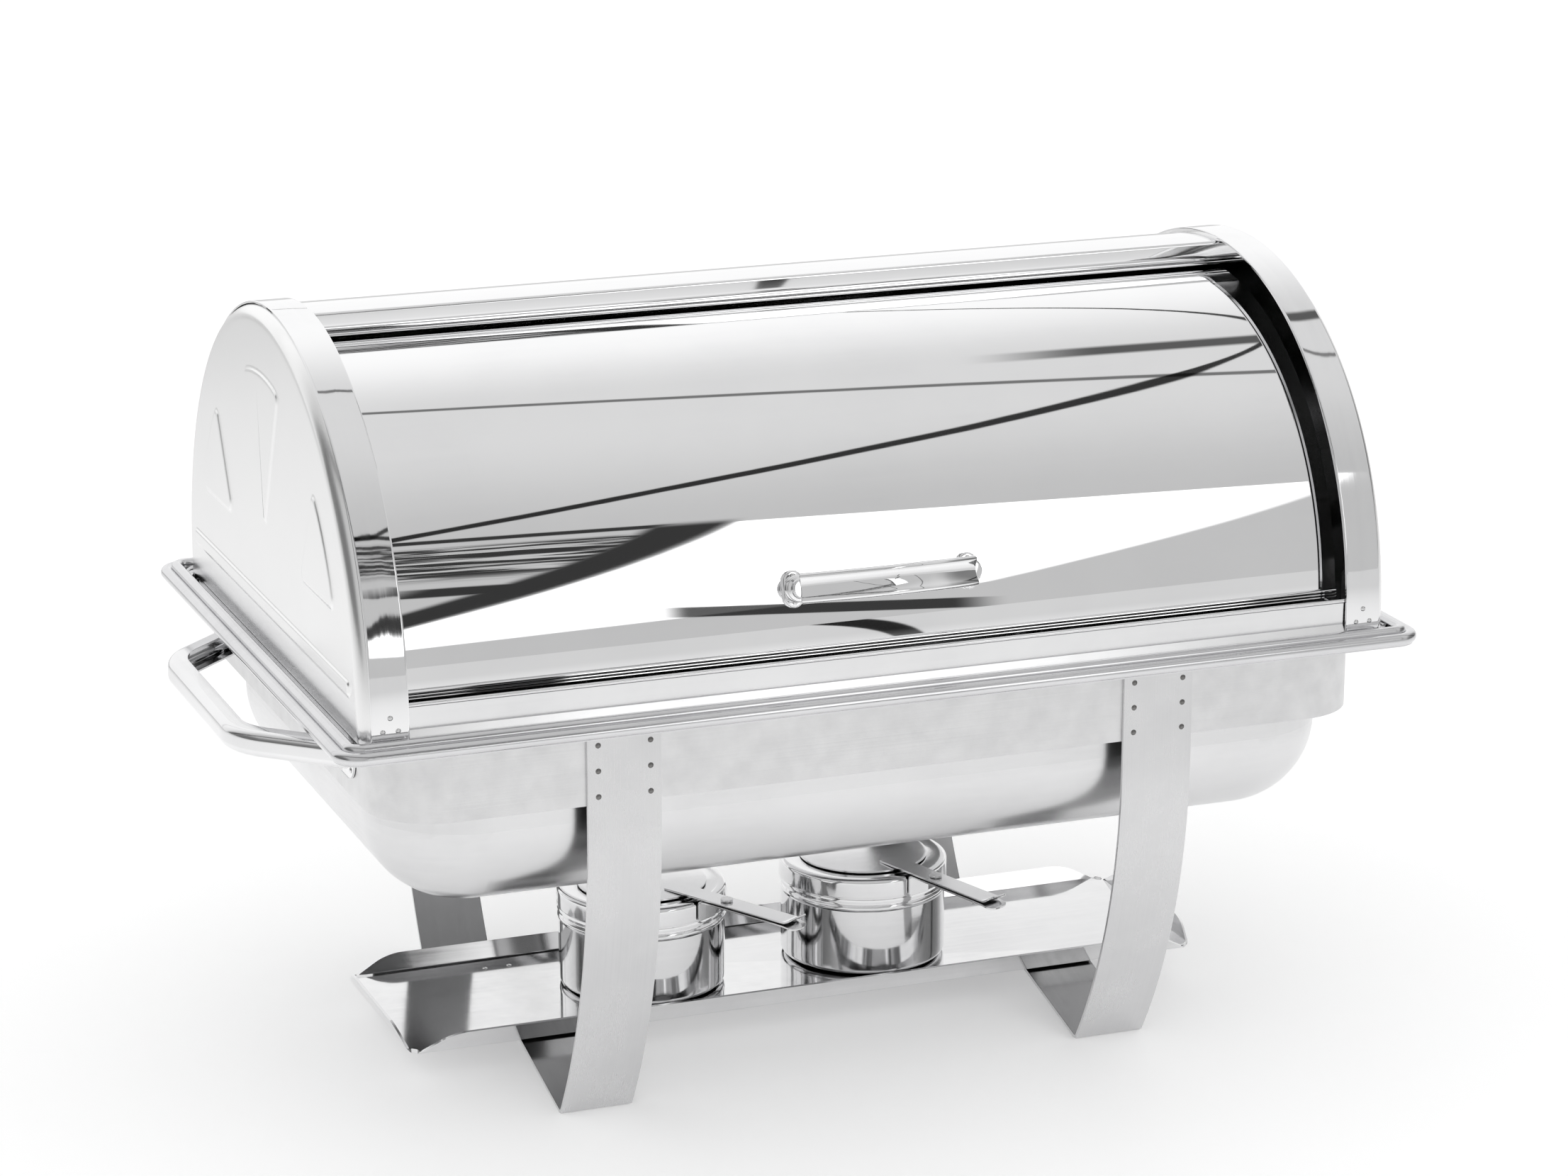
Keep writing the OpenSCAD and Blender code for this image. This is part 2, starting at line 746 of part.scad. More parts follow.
// The snuffer disc with the lever that swings it, along +X
module snuffer() {
    translate([0, 0, disc_bottom]) cylinder(r = snuffer_r, h = disc_top - disc_bottom);
    difference() {
        translate([0, lever_width / 2, 0]) rotate([quarter_turn, 0, 0])
            linear_extrude(lever_width) polygon([[lever_start, disc_top],
                [upper_end, disc_top],
                [upper_end + thumb * cos(thumb_lift), disc_top + thumb * sin(thumb_lift)],
                [upper_end + thumb * cos(thumb_lift) - strip * sin(thumb_lift),
                    disc_top + thumb * sin(thumb_lift) + strip * cos(thumb_lift)],
                [upper_end - strip * tan(thumb_lift / 2), upper_top],
                [lever_start, upper_top]]);
        translate([pivot_reach, 0, 0]) cylinder(r = rivet_r + run_fit, h = 2 * ring_top);
    }
}

module at_left_burner() translate([burner_left, 0, 0]) rotate(lever_left_turn) children();

module at_right_burner() translate([burner_right, 0, 0]) rotate(lever_right_turn) children();

module burner_cup_left() color("silver") at_left_burner() burner_cup();

module burner_ring_left() color("silver") at_left_burner() burner_ring();

module lever_bracket_left() color("silver") at_left_burner() lever_bracket();

module lever_rivet_left() color("gray") at_left_burner() lever_rivet();

module snuffer_left() color("gainsboro") at_left_burner() snuffer();

module burner_cup_right() color("silver") at_right_burner() burner_cup();

module burner_ring_right() color("silver") at_right_burner() burner_ring();

module lever_bracket_right() color("silver") at_right_burner() lever_bracket();

module lever_rivet_right() color("gray") at_right_burner() lever_rivet();

module snuffer_right() color("gainsboro") at_right_burner() snuffer();

rim_frame();
collar();
leg_left();
leg_right();
leg_welds();
fuel_tray();
tray_welds();
handle_left();
handle_right();
handle_welds();
water_pan();
food_pan();
end_panel_left();
end_panel_right();
end_band_left();
end_band_right();
band_welds();
front_skirt();
rear_shell();
pivot_pin_left();
pivot_pin_right();
stop_tabs();
roll_cover();
cover_end_left();
cover_end_right();
cover_handle();
handle_rivets();
burner_cup_left();
burner_ring_left();
lever_bracket_left();
lever_rivet_left();
snuffer_left();
burner_cup_right();
burner_ring_right();
lever_bracket_right();
lever_rivet_right();
snuffer_right();
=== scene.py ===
import json
import math
import bpy
import bmesh
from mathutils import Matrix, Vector

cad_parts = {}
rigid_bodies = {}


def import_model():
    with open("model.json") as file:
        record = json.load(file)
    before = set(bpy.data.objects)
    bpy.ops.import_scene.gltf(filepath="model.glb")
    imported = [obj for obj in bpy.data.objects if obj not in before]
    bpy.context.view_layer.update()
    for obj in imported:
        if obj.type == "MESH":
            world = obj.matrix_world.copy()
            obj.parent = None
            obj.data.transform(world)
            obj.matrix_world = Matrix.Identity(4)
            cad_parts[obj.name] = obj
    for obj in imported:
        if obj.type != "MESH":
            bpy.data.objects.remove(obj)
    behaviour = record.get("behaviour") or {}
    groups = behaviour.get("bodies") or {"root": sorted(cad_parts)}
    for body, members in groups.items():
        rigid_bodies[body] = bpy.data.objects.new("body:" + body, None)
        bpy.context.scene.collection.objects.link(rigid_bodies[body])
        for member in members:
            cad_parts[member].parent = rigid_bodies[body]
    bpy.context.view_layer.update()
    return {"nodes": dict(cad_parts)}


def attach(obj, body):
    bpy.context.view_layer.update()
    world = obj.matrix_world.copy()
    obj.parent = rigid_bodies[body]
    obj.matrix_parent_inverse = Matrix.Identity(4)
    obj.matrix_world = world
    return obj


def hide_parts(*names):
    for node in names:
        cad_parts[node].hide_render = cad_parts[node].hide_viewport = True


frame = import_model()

part = frame["nodes"]

# ---------------------------------------------------------------------------
# Studio: a wide pale floor, a white room that fills in the shadows, and the
# camera. The polished steel sees a room with one bright window panel at the
# front, a pale ceiling and the thin dark joints between its panels.
# ---------------------------------------------------------------------------
studio_white = (0.96, 0.96, 0.96, 1.0)
floor_radius = 14.0
scene = bpy.context.scene
scene.view_settings.view_transform = "Standard"


def number(operation, *values):
    """A sum on values or sockets of the shader tree in hand."""
    step = tree.nodes.new("ShaderNodeMath")
    step.operation = operation
    for socket, value in zip(step.inputs, values):
        if hasattr(value, "links"):
            tree.links.new(value, socket)
        else:
            socket.default_value = value
    return step.outputs["Value"]


def times(*values):
    """The product of values or sockets."""
    product = values[0]
    for value in values[1:]:
        product = number("MULTIPLY", product, value)
    return product


def fade(value, start, end, low=0.0, high=1.0):
    """A soft step from low to high while value goes from start to end."""
    step = tree.nodes.new("ShaderNodeMapRange")
    step.interpolation_type = "SMOOTHSTEP"
    tree.links.new(value, step.inputs["Value"])
    for name, level in (("From Min", start), ("From Max", end), ("To Min", low), ("To Max", high)):
        step.inputs[name].default_value = level
    return step.outputs["Result"]


def along(place, way):
    """How far a place, or a line of sight, lies in a direction."""
    step = tree.nodes.new("ShaderNodeVectorMath")
    step.operation = "DOT_PRODUCT"
    tree.links.new(place, step.inputs[0])
    step.inputs[1].default_value = way
    return step.outputs["Value"]


bpy.ops.object.select_all(action="DESELECT")
bpy.ops.mesh.primitive_circle_add(vertices=96, radius=floor_radius, fill_type="NGON",
                                  location=(0, 0, 0))
floor = bpy.context.object
floor.name = "floor"
paper = bpy.data.materials.new("floor_paper")
paper.use_nodes = True
tree = paper.node_tree
shader = tree.nodes["Principled BSDF"]
shader.inputs["Base Color"].default_value = (0.9, 0.9, 0.9, 1)
shader.inputs["Roughness"].default_value = 0.5
shader.inputs["Specular IOR Level"].default_value = 0.15
shader.inputs["Emission Color"].default_value = (1, 1, 1, 1)
shader.inputs["Emission Strength"].default_value = 0.22

# Mirror rays see a painted floor glow that fades with distance, and a painted dark line: the
# handle's reflection.
floor_place = tree.nodes.new("ShaderNodeTexCoord").outputs["Object"]
length = tree.nodes.new("ShaderNodeVectorMath")
length.operation = "LENGTH"
tree.links.new(floor_place, length.inputs[0])
distance = length.outputs["Value"]
# The dark line is a painted reflection of the cover handle, seen in the roll cover.
handle_reflection_way, handle_reflection_aside, handle_reflection_depth = (0.931, 0.364, 0), 0.0135, 0.66
bearing = number("DIVIDE", along(floor_place, handle_reflection_way), distance)
painted_handle_reflection = fade(number("ABSOLUTE", number("ADD", bearing, handle_reflection_aside)), 0.0065, 0.0085, 1.0, 0.0)
painted_handle_reflection = times(painted_handle_reflection, fade(distance, 1.5, 1.7))
painted_floor_fade = fade(distance, 0.55, 2.6, 0.95, 0.68)
# Painted reflection: mirror rays see this glow in place of the lit floor.
painted_floor_reflection = tree.nodes.new("ShaderNodeEmission")
tree.links.new(number("MULTIPLY_ADD", painted_handle_reflection, -handle_reflection_depth, painted_floor_fade), painted_floor_reflection.inputs["Color"])
mirror_ray = tree.nodes.new("ShaderNodeLightPath").outputs["Is Glossy Ray"]
seen = tree.nodes.new("ShaderNodeMixShader")
tree.links.new(times(mirror_ray, fade(distance, 0.45, 0.9)), seen.inputs["Fac"])
tree.links.new(shader.outputs["BSDF"], seen.inputs[1])
tree.links.new(painted_floor_reflection.outputs["Emission"], seen.inputs[2])
tree.links.new(seen.outputs["Shader"], tree.nodes["Material Output"].inputs["Surface"])
floor.data.materials.append(paper)

room = bpy.data.worlds.new("studio_room")
scene.world = room
room.use_nodes = True
tree = room.node_tree
sight = tree.nodes.new("ShaderNodeTexCoord").outputs["Generated"]


def above(normal):
    """How far a line of sight lies above a flat joint that passes through the object."""
    return along(sight, Vector(normal).normalized())


def darken(light, mark, depth):
    """The light with a dark mark taken out of it."""
    return times(light, number("SUBTRACT", 1.0, times(mark, depth)))


side_joint = above((-0.939, -0.195, 0.285))
top_joint = above((0.610, 0.670, 0.422))
sill = above((-0.253, 0.025, 0.967))
right_joint = above((-0.882, -0.327, 0.339))
long_joint = above((-0.894, 0.109, 0.435))
thin_joint = above((0.790, 0.509, -0.341))
rightward = above((1, 0, 0))
backward = above((0, 1, 0))

# The bright window, and the ceiling that grows paler towards the back.
window_glow = 1.5
window = times(fade(side_joint, 0.0, -0.004), fade(top_joint, 0.0, -0.004),
               fade(sill, -0.006, 0.012), fade(right_joint, -0.003, 0.006))
ceiling = fade(top_joint, -0.02, 0.55, 0.56, 0.73)
light = number("ADD", ceiling, fade(backward, 0.2, 0.75, 0.0, 0.30))

# Two thin joints of the ceiling; the longer one narrows towards the back.
narrower = fade(backward, -0.1, 0.15, 1.0, 5.0)
long_line = times(number("ABSOLUTE", long_joint), narrower)
light = times(light, fade(long_line, 0.0038, 0.0068, 0.05, 1.0))
light = times(light, fade(number("ABSOLUTE", thin_joint), 0.003, 0.009, 0.25, 1.0))

# The dark post, seam and slats of a blind that stand beside the window.
edge_post = times(fade(side_joint, 0.022, 0.016), fade(side_joint, -0.004, 0.002),
                  fade(top_joint, 0.02, -0.01))
seam = times(fade(number("ABSOLUTE", top_joint), 0.012, 0.006), fade(side_joint, 0.004, 0.02))
blind = tree.nodes.new("ShaderNodeTexNoise")
blind.inputs["Scale"].default_value = 1.0
blind.inputs["Detail"].default_value = 2.0
slats = tree.nodes.new("ShaderNodeCombineXYZ")
slats_across, slats_up = 26.0, 95.0
tree.links.new(times(rightward, slats_across), slats.inputs["X"])
tree.links.new(times(top_joint, slats_up), slats.inputs["Y"])
tree.links.new(slats.outputs["Vector"], blind.inputs["Vector"])
slat = times(fade(blind.outputs["Fac"], 0.40, 0.52), fade(top_joint, -0.025, -0.04),
             fade(top_joint, -0.20, -0.16), fade(side_joint, 0.012, 0.018))
lowest_slat = -0.235
finger = times(fade(number("ABSOLUTE", number("SUBTRACT", top_joint, lowest_slat)), 0.022, 0.014),
               times(fade(side_joint, 0.055, 0.035), fade(side_joint, 0.0, 0.01)))
beside = number("MAXIMUM", number("MAXIMUM", edge_post, seam), number("MAXIMUM", slat, finger))
light = darken(light, times(beside, fade(sill, 0.0, 0.05)), 0.93)

# A beam up on the right, darker ends to the room, and a painted handle reflection across the
# window.
beam_height, handle_reflection_bar_height = 0.757, 0.3566
beam = number("ABSOLUTE", number("SUBTRACT", top_joint, beam_height))
beam = times(fade(beam, 0.028, 0.012), fade(rightward, 0.385, 0.415))
light = darken(light, beam, 0.85)
light = times(light, fade(number("ABSOLUTE", rightward), 0.72, 0.95, 1.0, 0.30))
light = number("MAXIMUM", light, times(window, window_glow))
# Painted reflection: this dark bar stands in for the cover handle's dark underside mirrored in the
# cover.
painted_handle_reflection_bar = number("ABSOLUTE", number("SUBTRACT", above((2.2, 0, 1)), handle_reflection_bar_height))
painted_handle_reflection_bar = times(fade(painted_handle_reflection_bar, 0.0145, 0.0115), fade(rightward, 0.318, 0.326),
             fade(rightward, 0.392, 0.380), fade(backward, -0.85, -0.9))
light = darken(light, painted_handle_reflection_bar, 0.92)

glossy_room = tree.nodes.new("ShaderNodeBackground")
tree.links.new(light, glossy_room.inputs["Color"])
white_room = tree.nodes.new("ShaderNodeBackground")
white_room.inputs["Color"].default_value = studio_white
choose = tree.nodes.new("ShaderNodeMixShader")
mirror_ray = tree.nodes.new("ShaderNodeLightPath").outputs["Is Glossy Ray"]
tree.links.new(mirror_ray, choose.inputs["Fac"])
tree.links.new(white_room.outputs["Background"], choose.inputs[1])
tree.links.new(glossy_room.outputs["Background"], choose.inputs[2])
tree.links.new(choose.outputs["Shader"], tree.nodes["World Output"].inputs["Surface"])

bpy.ops.object.camera_add(location=(-0.7936, -2.0727, 0.8580))
camera = bpy.context.object
camera.name = "camera"
aim = Vector((0, 0, 0.18667)) - camera.location
camera.rotation_euler = aim.to_track_quat("-Z", "Y").to_euler()
camera.data.sensor_width = 36.0
camera.data.lens = 103.7
camera.data.shift_x = 0.0066
camera.data.shift_y = 0.0406
camera.data.clip_end = 60
scene.camera = camera

# ---------------------------------------------------------------------------
# Rim: one pressed ring of stainless sheet with a low outer bead, a higher
# inner bead and a step down to the ledge that the pans hang on. It is satin
# polished along its length, and every steel part shares this sheet finish.
# ---------------------------------------------------------------------------
def group_socket(group, way, kind, name, value=None):
    """A named input or output of a shader group."""
    socket = group.interface.new_socket(name=name, in_out=way, socket_type=kind)
    if value is not None:
        socket.default_value = value


def steel_sheet_group():
    """Grain drawn by the rollers, slow waves of thin sheet, and wiped smudges."""
    group = bpy.data.node_groups.new("steel_sheet", "ShaderNodeTree")
    group_socket(group, "INPUT", "NodeSocketVector", "Place")
    group_socket(group, "INPUT", "NodeSocketVector", "Grain stretch", (4, 300, 300))
    group_socket(group, "INPUT", "NodeSocketFloat", "Grain depth", 0.1)
    group_socket(group, "INPUT", "NodeSocketFloat", "Wave size", 20)
    group_socket(group, "INPUT", "NodeSocketFloat", "Wave depth", 0.1)
    group_socket(group, "INPUT", "NodeSocketFloat", "Roughness low", 0.05)
    group_socket(group, "INPUT", "NodeSocketFloat", "Roughness high", 0.15)
    group_socket(group, "OUTPUT", "NodeSocketFloat", "Roughness")
    group_socket(group, "OUTPUT", "NodeSocketFloat", "Streak")
    group_socket(group, "OUTPUT", "NodeSocketFloat", "Smudge")
    group_socket(group, "OUTPUT", "NodeSocketVector", "Normal")
    nodes, links = group.nodes, group.links
    source, result = nodes.new("NodeGroupInput"), nodes.new("NodeGroupOutput")
    stretch = nodes.new("ShaderNodeVectorMath")
    stretch.operation = "MULTIPLY"
    links.new(source.outputs["Place"], stretch.inputs[0])
    links.new(source.outputs["Grain stretch"], stretch.inputs[1])
    grain = nodes.new("ShaderNodeTexNoise")
    grain.inputs["Scale"].default_value = 1.0
    grain.inputs["Detail"].default_value = 3.0
    links.new(stretch.outputs["Vector"], grain.inputs["Vector"])
    wave = nodes.new("ShaderNodeTexNoise")
    wave.inputs["Detail"].default_value = 1.5
    wave.inputs["Roughness"].default_value = 0.4
    links.new(source.outputs["Place"], wave.inputs["Vector"])
    links.new(source.outputs["Wave size"], wave.inputs["Scale"])
    smudge = nodes.new("ShaderNodeTexNoise")
    smudge.inputs["Scale"].default_value = 14.0
    smudge.inputs["Detail"].default_value = 6.0
    smudge.inputs["Roughness"].default_value = 0.62
    links.new(source.outputs["Place"], smudge.inputs["Vector"])
    worn = nodes.new("ShaderNodeMapRange")
    worn.inputs["From Min"].default_value = 0.38
    worn.inputs["From Max"].default_value = 0.72
    links.new(smudge.outputs["Fac"], worn.inputs["Value"])
    blend = nodes.new("ShaderNodeMath")
    blend.operation = "MULTIPLY_ADD"
    blend.inputs[1].default_value = 0.55
    links.new(grain.outputs["Fac"], blend.inputs[0])
    half = nodes.new("ShaderNodeMath")
    half.operation = "MULTIPLY"
    half.inputs[1].default_value = 0.45
    links.new(worn.outputs["Result"], half.inputs[0])
    links.new(half.outputs["Value"], blend.inputs[2])
    rough = nodes.new("ShaderNodeMapRange")
    links.new(blend.outputs["Value"], rough.inputs["Value"])
    links.new(source.outputs["Roughness low"], rough.inputs["To Min"])
    links.new(source.outputs["Roughness high"], rough.inputs["To Max"])
    waves = nodes.new("ShaderNodeBump")
    waves.inputs["Distance"].default_value = 0.002
    links.new(source.outputs["Wave depth"], waves.inputs["Strength"])
    links.new(wave.outputs["Fac"], waves.inputs["Height"])
    lines = nodes.new("ShaderNodeBump")
    lines.inputs["Distance"].default_value = 0.0002
    links.new(source.outputs["Grain depth"], lines.inputs["Strength"])
    links.new(grain.outputs["Fac"], lines.inputs["Height"])
    links.new(waves.outputs["Normal"], lines.inputs["Normal"])
    links.new(rough.outputs["Result"], result.inputs["Roughness"])
    links.new(grain.outputs["Fac"], result.inputs["Streak"])
    links.new(worn.outputs["Result"], result.inputs["Smudge"])
    links.new(lines.outputs["Normal"], result.inputs["Normal"])
    return group


def edge_light_and_shade_group():
    """Painted highlight on convex sheet edges and painted shade in inner corners, broken up by
    noise.
    """
    group = bpy.data.node_groups.new("painted_edge_light", "ShaderNodeTree")
    group_socket(group, "INPUT", "NodeSocketVector", "Place")
    group_socket(group, "INPUT", "NodeSocketFloat", "Amount", 1.0)
    group_socket(group, "OUTPUT", "NodeSocketFloat", "Edge")
    group_socket(group, "OUTPUT", "NodeSocketFloat", "Corner")
    nodes, links = group.nodes, group.links
    source, result = nodes.new("NodeGroupInput"), nodes.new("NodeGroupOutput")
    shape = nodes.new("ShaderNodeNewGeometry")
    patchy = nodes.new("ShaderNodeTexNoise")
    patchy.inputs["Scale"].default_value = 90.0
    patchy.inputs["Detail"].default_value = 4.0
    links.new(source.outputs["Place"], patchy.inputs["Vector"])
    for name, start, end in (("Edge", 0.53, 0.62), ("Corner", 0.47, 0.40)):
        turned_in = nodes.new("ShaderNodeMapRange")
        turned_in.inputs["From Min"].default_value = start
        turned_in.inputs["From Max"].default_value = end
        links.new(shape.outputs["Pointiness"], turned_in.inputs["Value"])
        broken = nodes.new("ShaderNodeMath")
        broken.operation = "MULTIPLY"
        links.new(turned_in.outputs["Result"], broken.inputs[0])
        links.new(patchy.outputs["Fac"], broken.inputs[1])
        scaled = nodes.new("ShaderNodeMath")
        scaled.operation = "MULTIPLY"
        links.new(broken.outputs["Value"], scaled.inputs[0])
        links.new(source.outputs["Amount"], scaled.inputs[1])
        links.new(scaled.outputs["Value"], result.inputs[name])
    return group


steel_sheet = steel_sheet_group()
painted_edge_light = edge_light_and_shade_group()
# Colours of the painted shade in inner corners and of the painted highlight on convex edges.
painted_corner_shade, painted_edge_highlight = (0.30, 0.295, 0.29, 1), (0.97, 0.97, 0.97, 1)


def steel(name, shade, dull, grain=(4, 420, 420), grain_depth=0.1, rough=(0.1, 0.2),
          wave=(14, 0.05), edge_light=0.6):
    """A stainless finish: shade is the clean metal, dull is where smudges and streaks lie."""
    finish = bpy.data.materials.new(name)
    finish.use_nodes = True
    nodes, links = finish.node_tree.nodes, finish.node_tree.links
    surface = nodes["Principled BSDF"]
    surface.inputs["Metallic"].default_value = 1.0
    place = nodes.new("ShaderNodeTexCoord")
    sheet = nodes.new("ShaderNodeGroup")
    sheet.node_tree = steel_sheet
    sheet.inputs["Grain stretch"].default_value = grain
    sheet.inputs["Grain depth"].default_value = grain_depth
    sheet.inputs["Wave size"].default_value = wave[0]
    sheet.inputs["Wave depth"].default_value = wave[1]
    sheet.inputs["Roughness low"].default_value = rough[0]
    sheet.inputs["Roughness high"].default_value = rough[1]
    links.new(place.outputs["Object"], sheet.inputs["Place"])
    edges = nodes.new("ShaderNodeGroup")
    edges.node_tree = painted_edge_light
    edges.inputs["Amount"].default_value = edge_light
    links.new(place.outputs["Object"], edges.inputs["Place"])
    streaks = nodes.new("ShaderNodeMath")
    streaks.operation = "MULTIPLY"
    links.new(sheet.outputs["Streak"], streaks.inputs[0])
    links.new(sheet.outputs["Smudge"], streaks.inputs[1])
    body = nodes.new("ShaderNodeMix")
    body.data_type = "RGBA"
    body.inputs["A"].default_value = (*shade, 1)
    body.inputs["B"].default_value = (*dull, 1)
    links.new(streaks.outputs["Value"], body.inputs["Factor"])
    # Painted shade darkens the inner corners, and a painted highlight brightens the convex edges.
    held = nodes.new("ShaderNodeMix")
    held.data_type = "RGBA"
    held.inputs["B"].default_value = painted_corner_shade
    links.new(edges.outputs["Corner"], held.inputs["Factor"])
    links.new(body.outputs["Result"], held.inputs["A"])
    bright = nodes.new("ShaderNodeMix")
    bright.data_type = "RGBA"
    bright.inputs["B"].default_value = painted_edge_highlight
    links.new(edges.outputs["Edge"], bright.inputs["Factor"])
    links.new(held.outputs["Result"], bright.inputs["A"])
    links.new(bright.outputs["Result"], surface.inputs["Base Color"])
    links.new(sheet.outputs["Roughness"], surface.inputs["Roughness"])
    links.new(sheet.outputs["Normal"], surface.inputs["Normal"])
    return finish


def dress(finish, *names):
    """Gives carried-over parts a finish."""
    for name in names:
        part[name].data.materials.clear()
        part[name].data.materials.append(finish)


rim_steel = steel("rim_steel", (0.74, 0.74, 0.75), (0.60, 0.60, 0.61), grain=(5, 300, 300),
                  grain_depth=0.03, rough=(0.07, 0.14), wave=(9, 0.03))
dress(rim_steel, "rim_frame")

# ---------------------------------------------------------------------------
# Collar: a deep band of brushed sheet welded under the rim. It steadies the
# water pan and carries the legs and the end handles.
# ---------------------------------------------------------------------------
brushed_frame = steel("brushed_frame", (0.635, 0.635, 0.64), (0.585, 0.585, 0.592),
                      grain=(5, 400, 1300), grain_depth=0.20, rough=(0.29, 0.32), wave=(7, 0.02))
dress(brushed_frame, "collar")

# ---------------------------------------------------------------------------
# Legs: each is one strip of 2 mm stainless, bent over a former into a long
# curve, a tight foot and a ramp that runs under the fuel tray. The strips are
# brushed along their length and spot welded to the collar, three rows a side.
# ---------------------------------------------------------------------------
def arc(across, up, radius, start, end, steps):
    """Points round a centre in a plane, as pairs, angles in degrees."""
    turns = [math.radians(start + (end - start) * i / steps) for i in range(steps + 1)]
    return [(across + radius * math.cos(a), up + radius * math.sin(a)) for a in turns]


def draw_line(points, name=None):
    """A line drawn by extruding one point after another, as a new piece if it is named."""
    if name:
        bpy.ops.object.select_all(action="DESELECT")
        bpy.ops.mesh.primitive_plane_add(size=0.01, location=(0, 0, 0))
        bpy.context.object.name = bpy.context.object.data.name = name
        bpy.ops.object.mode_set(mode="EDIT")
        bpy.ops.mesh.select_mode(type="VERT")
    else:
        bpy.ops.mesh.select_mode(type="VERT")
        bpy.ops.mesh.select_all(action="DESELECT")
        bpy.ops.mesh.primitive_plane_add(size=0.01, location=(0, 0, 0))
    bpy.ops.mesh.merge(type="CENTER")
    bpy.ops.transform.translate(value=points[0])
    for here, there in zip(points, points[1:]):
        bpy.ops.mesh.extrude_vertices_move(
            TRANSFORM_OT_translate={"value": Vector(there) - Vector(here)})
    return bpy.context.object


def close_line(points, name=None):
    """The same line closed into a flat face."""
    piece = draw_line(points, name)
    bpy.ops.mesh.select_linked()
    bpy.ops.mesh.edge_face_add()
    return piece


def pull(x=0.0, y=0.0, z=0.0):
    """Extrudes what is selected."""
    bpy.ops.mesh.extrude_region_move(TRANSFORM_OT_translate={"value": (x, y, z)})


def pick(kind, test):
    """Selects vertices, edges or faces of the piece in hand by where their middle is."""
    bpy.ops.mesh.select_mode(type={"verts": "VERT", "edges": "EDGE", "faces": "FACE"}[kind])
    bpy.ops.mesh.select_all(action="DESELECT")
    mesh = bmesh.from_edit_mesh(bpy.context.object.data)
    for item in getattr(mesh, kind):
        if kind == "verts":
            middle = item.co
        elif kind == "edges":
            middle = (item.verts[0].co + item.verts[1].co) / 2
        else:
            middle = item.calc_center_median()
        if test(middle):
            item.select_set(True)
    mesh.select_flush_mode()
    bmesh.update_edit_mesh(bpy.context.object.data)


def in_hand(piece):
    """Leaves edit mode with only this piece selected."""
    if bpy.context.object and bpy.context.object.mode == "EDIT":
        bpy.ops.object.mode_set(mode="OBJECT")
    bpy.ops.object.select_all(action="DESELECT")
    piece.select_set(True)
    bpy.context.view_layer.objects.active = piece


def thicken(piece, sheet):
    """Gives a sheet drawn on its middle its thickness."""
    bpy.ops.mesh.select_all(action="SELECT")
    bpy.ops.mesh.remove_doubles(threshold=0.00001)
    bpy.ops.mesh.normals_make_consistent(inside=False)
    in_hand(piece)
    wall = piece.modifiers.new("wall", "SOLIDIFY")
    wall.thickness = sheet
    wall.offset = 0.0
    wall.use_even_offset = True
    bpy.ops.object.modifier_apply(modifier=wall.name)


def soften(piece, width, segments=2, angle=40):
    """Breaks the sharp edges with a small round."""
    in_hand(piece)
    edge = piece.modifiers.new("edge", "BEVEL")
    edge.width = width
    edge.segments = segments
    edge.limit_method = "ANGLE"
    edge.angle_limit = math.radians(angle)
    bpy.ops.object.modifier_apply(modifier=edge.name)


def tidy_solid(piece):
    """Merges seams and turns every face of a closed shape outwards."""
    if piece.mode != "EDIT":
        in_hand(piece)
        bpy.ops.object.mode_set(mode="EDIT")
    bpy.ops.mesh.select_all(action="SELECT")
    bpy.ops.mesh.remove_doubles(threshold=0.000005)
    bpy.ops.mesh.normals_make_consistent(inside=False)
    in_hand(piece)


def copy_of(piece, name, move=(0, 0, 0), mirror=False):
    """A second piece from the same tools, with its own mesh."""
    in_hand(piece)
    bpy.ops.object.duplicate()
    twin = bpy.context.object
    twin.name = twin.data.name = name
    bpy.ops.object.mode_set(mode="EDIT")
    bpy.ops.mesh.select_all(action="SELECT")
    if mirror:
        bpy.ops.transform.resize(value=(-1, 1, 1), center_override=(0, 0, 0))
        bpy.ops.mesh.flip_normals()
    bpy.ops.transform.translate(value=move)
    in_hand(twin)
    return twin


def hand_over(piece, finish, body, slot_name, *nodes, angle=32):
    """Shades a finished piece, gives it its finish and puts it in place of its parts."""
    in_hand(piece)
    bpy.ops.object.shade_smooth_by_angle(angle=math.radians(angle))
    even = piece.modifiers.new("even", "WEIGHTED_NORMAL")
    even.keep_sharp = True
    bpy.ops.object.modifier_apply(modifier=even.name)
    if not piece.data.materials:
        piece.data.materials.append(finish)
    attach(piece, body)
    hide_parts(*nodes)


brushed_leg = steel("brushed_leg", (0.69, 0.69, 0.695), (0.58, 0.58, 0.59),
                    grain=(1300, 6, 5), grain_depth=0.20, rough=(0.24, 0.34), wave=(9, 0.05))
# A darker copy of the leg steel for the faces turned inwards and up: painted shade.
painted_inner_shade = steel("painted_inner_shade", (0.37, 0.37, 0.373), (0.27, 0.27, 0.272),
                  grain=(420, 20, 20), grain_depth=0.12, rough=(0.14, 0.24), wave=(9, 0.05))
strap, strap_width, strap_x, leg_step = 0.002, 0.037, 0.120, 0.277
curve_radius, foot_radius, curve_end = 0.300, 0.003, 212.37
front = [(-0.165, 0.208), (-0.165, 0.186)]
front += arc(0.135, 0.163, curve_radius, 180, curve_end, 40)
front += arc(-0.11585, 0.004, foot_radius, curve_end, 283, 12)[1:]
front += [(-0.0560, 0.01475), (-0.0528, 0.01535), (-0.0495, 0.0157), (-0.046, 0.0158)]
side = [(strap_x, y, z) for y, z in front] + [(strap_x, -y, z) for y, z in reversed(front)]
leg = draw_line(side, "leg_strap_right")
bpy.ops.mesh.select_all(action="SELECT")
pull(x=strap_width)
thicken(leg, strap)
leg.data.materials.append(brushed_leg)
leg.data.materials.append(painted_inner_shade)
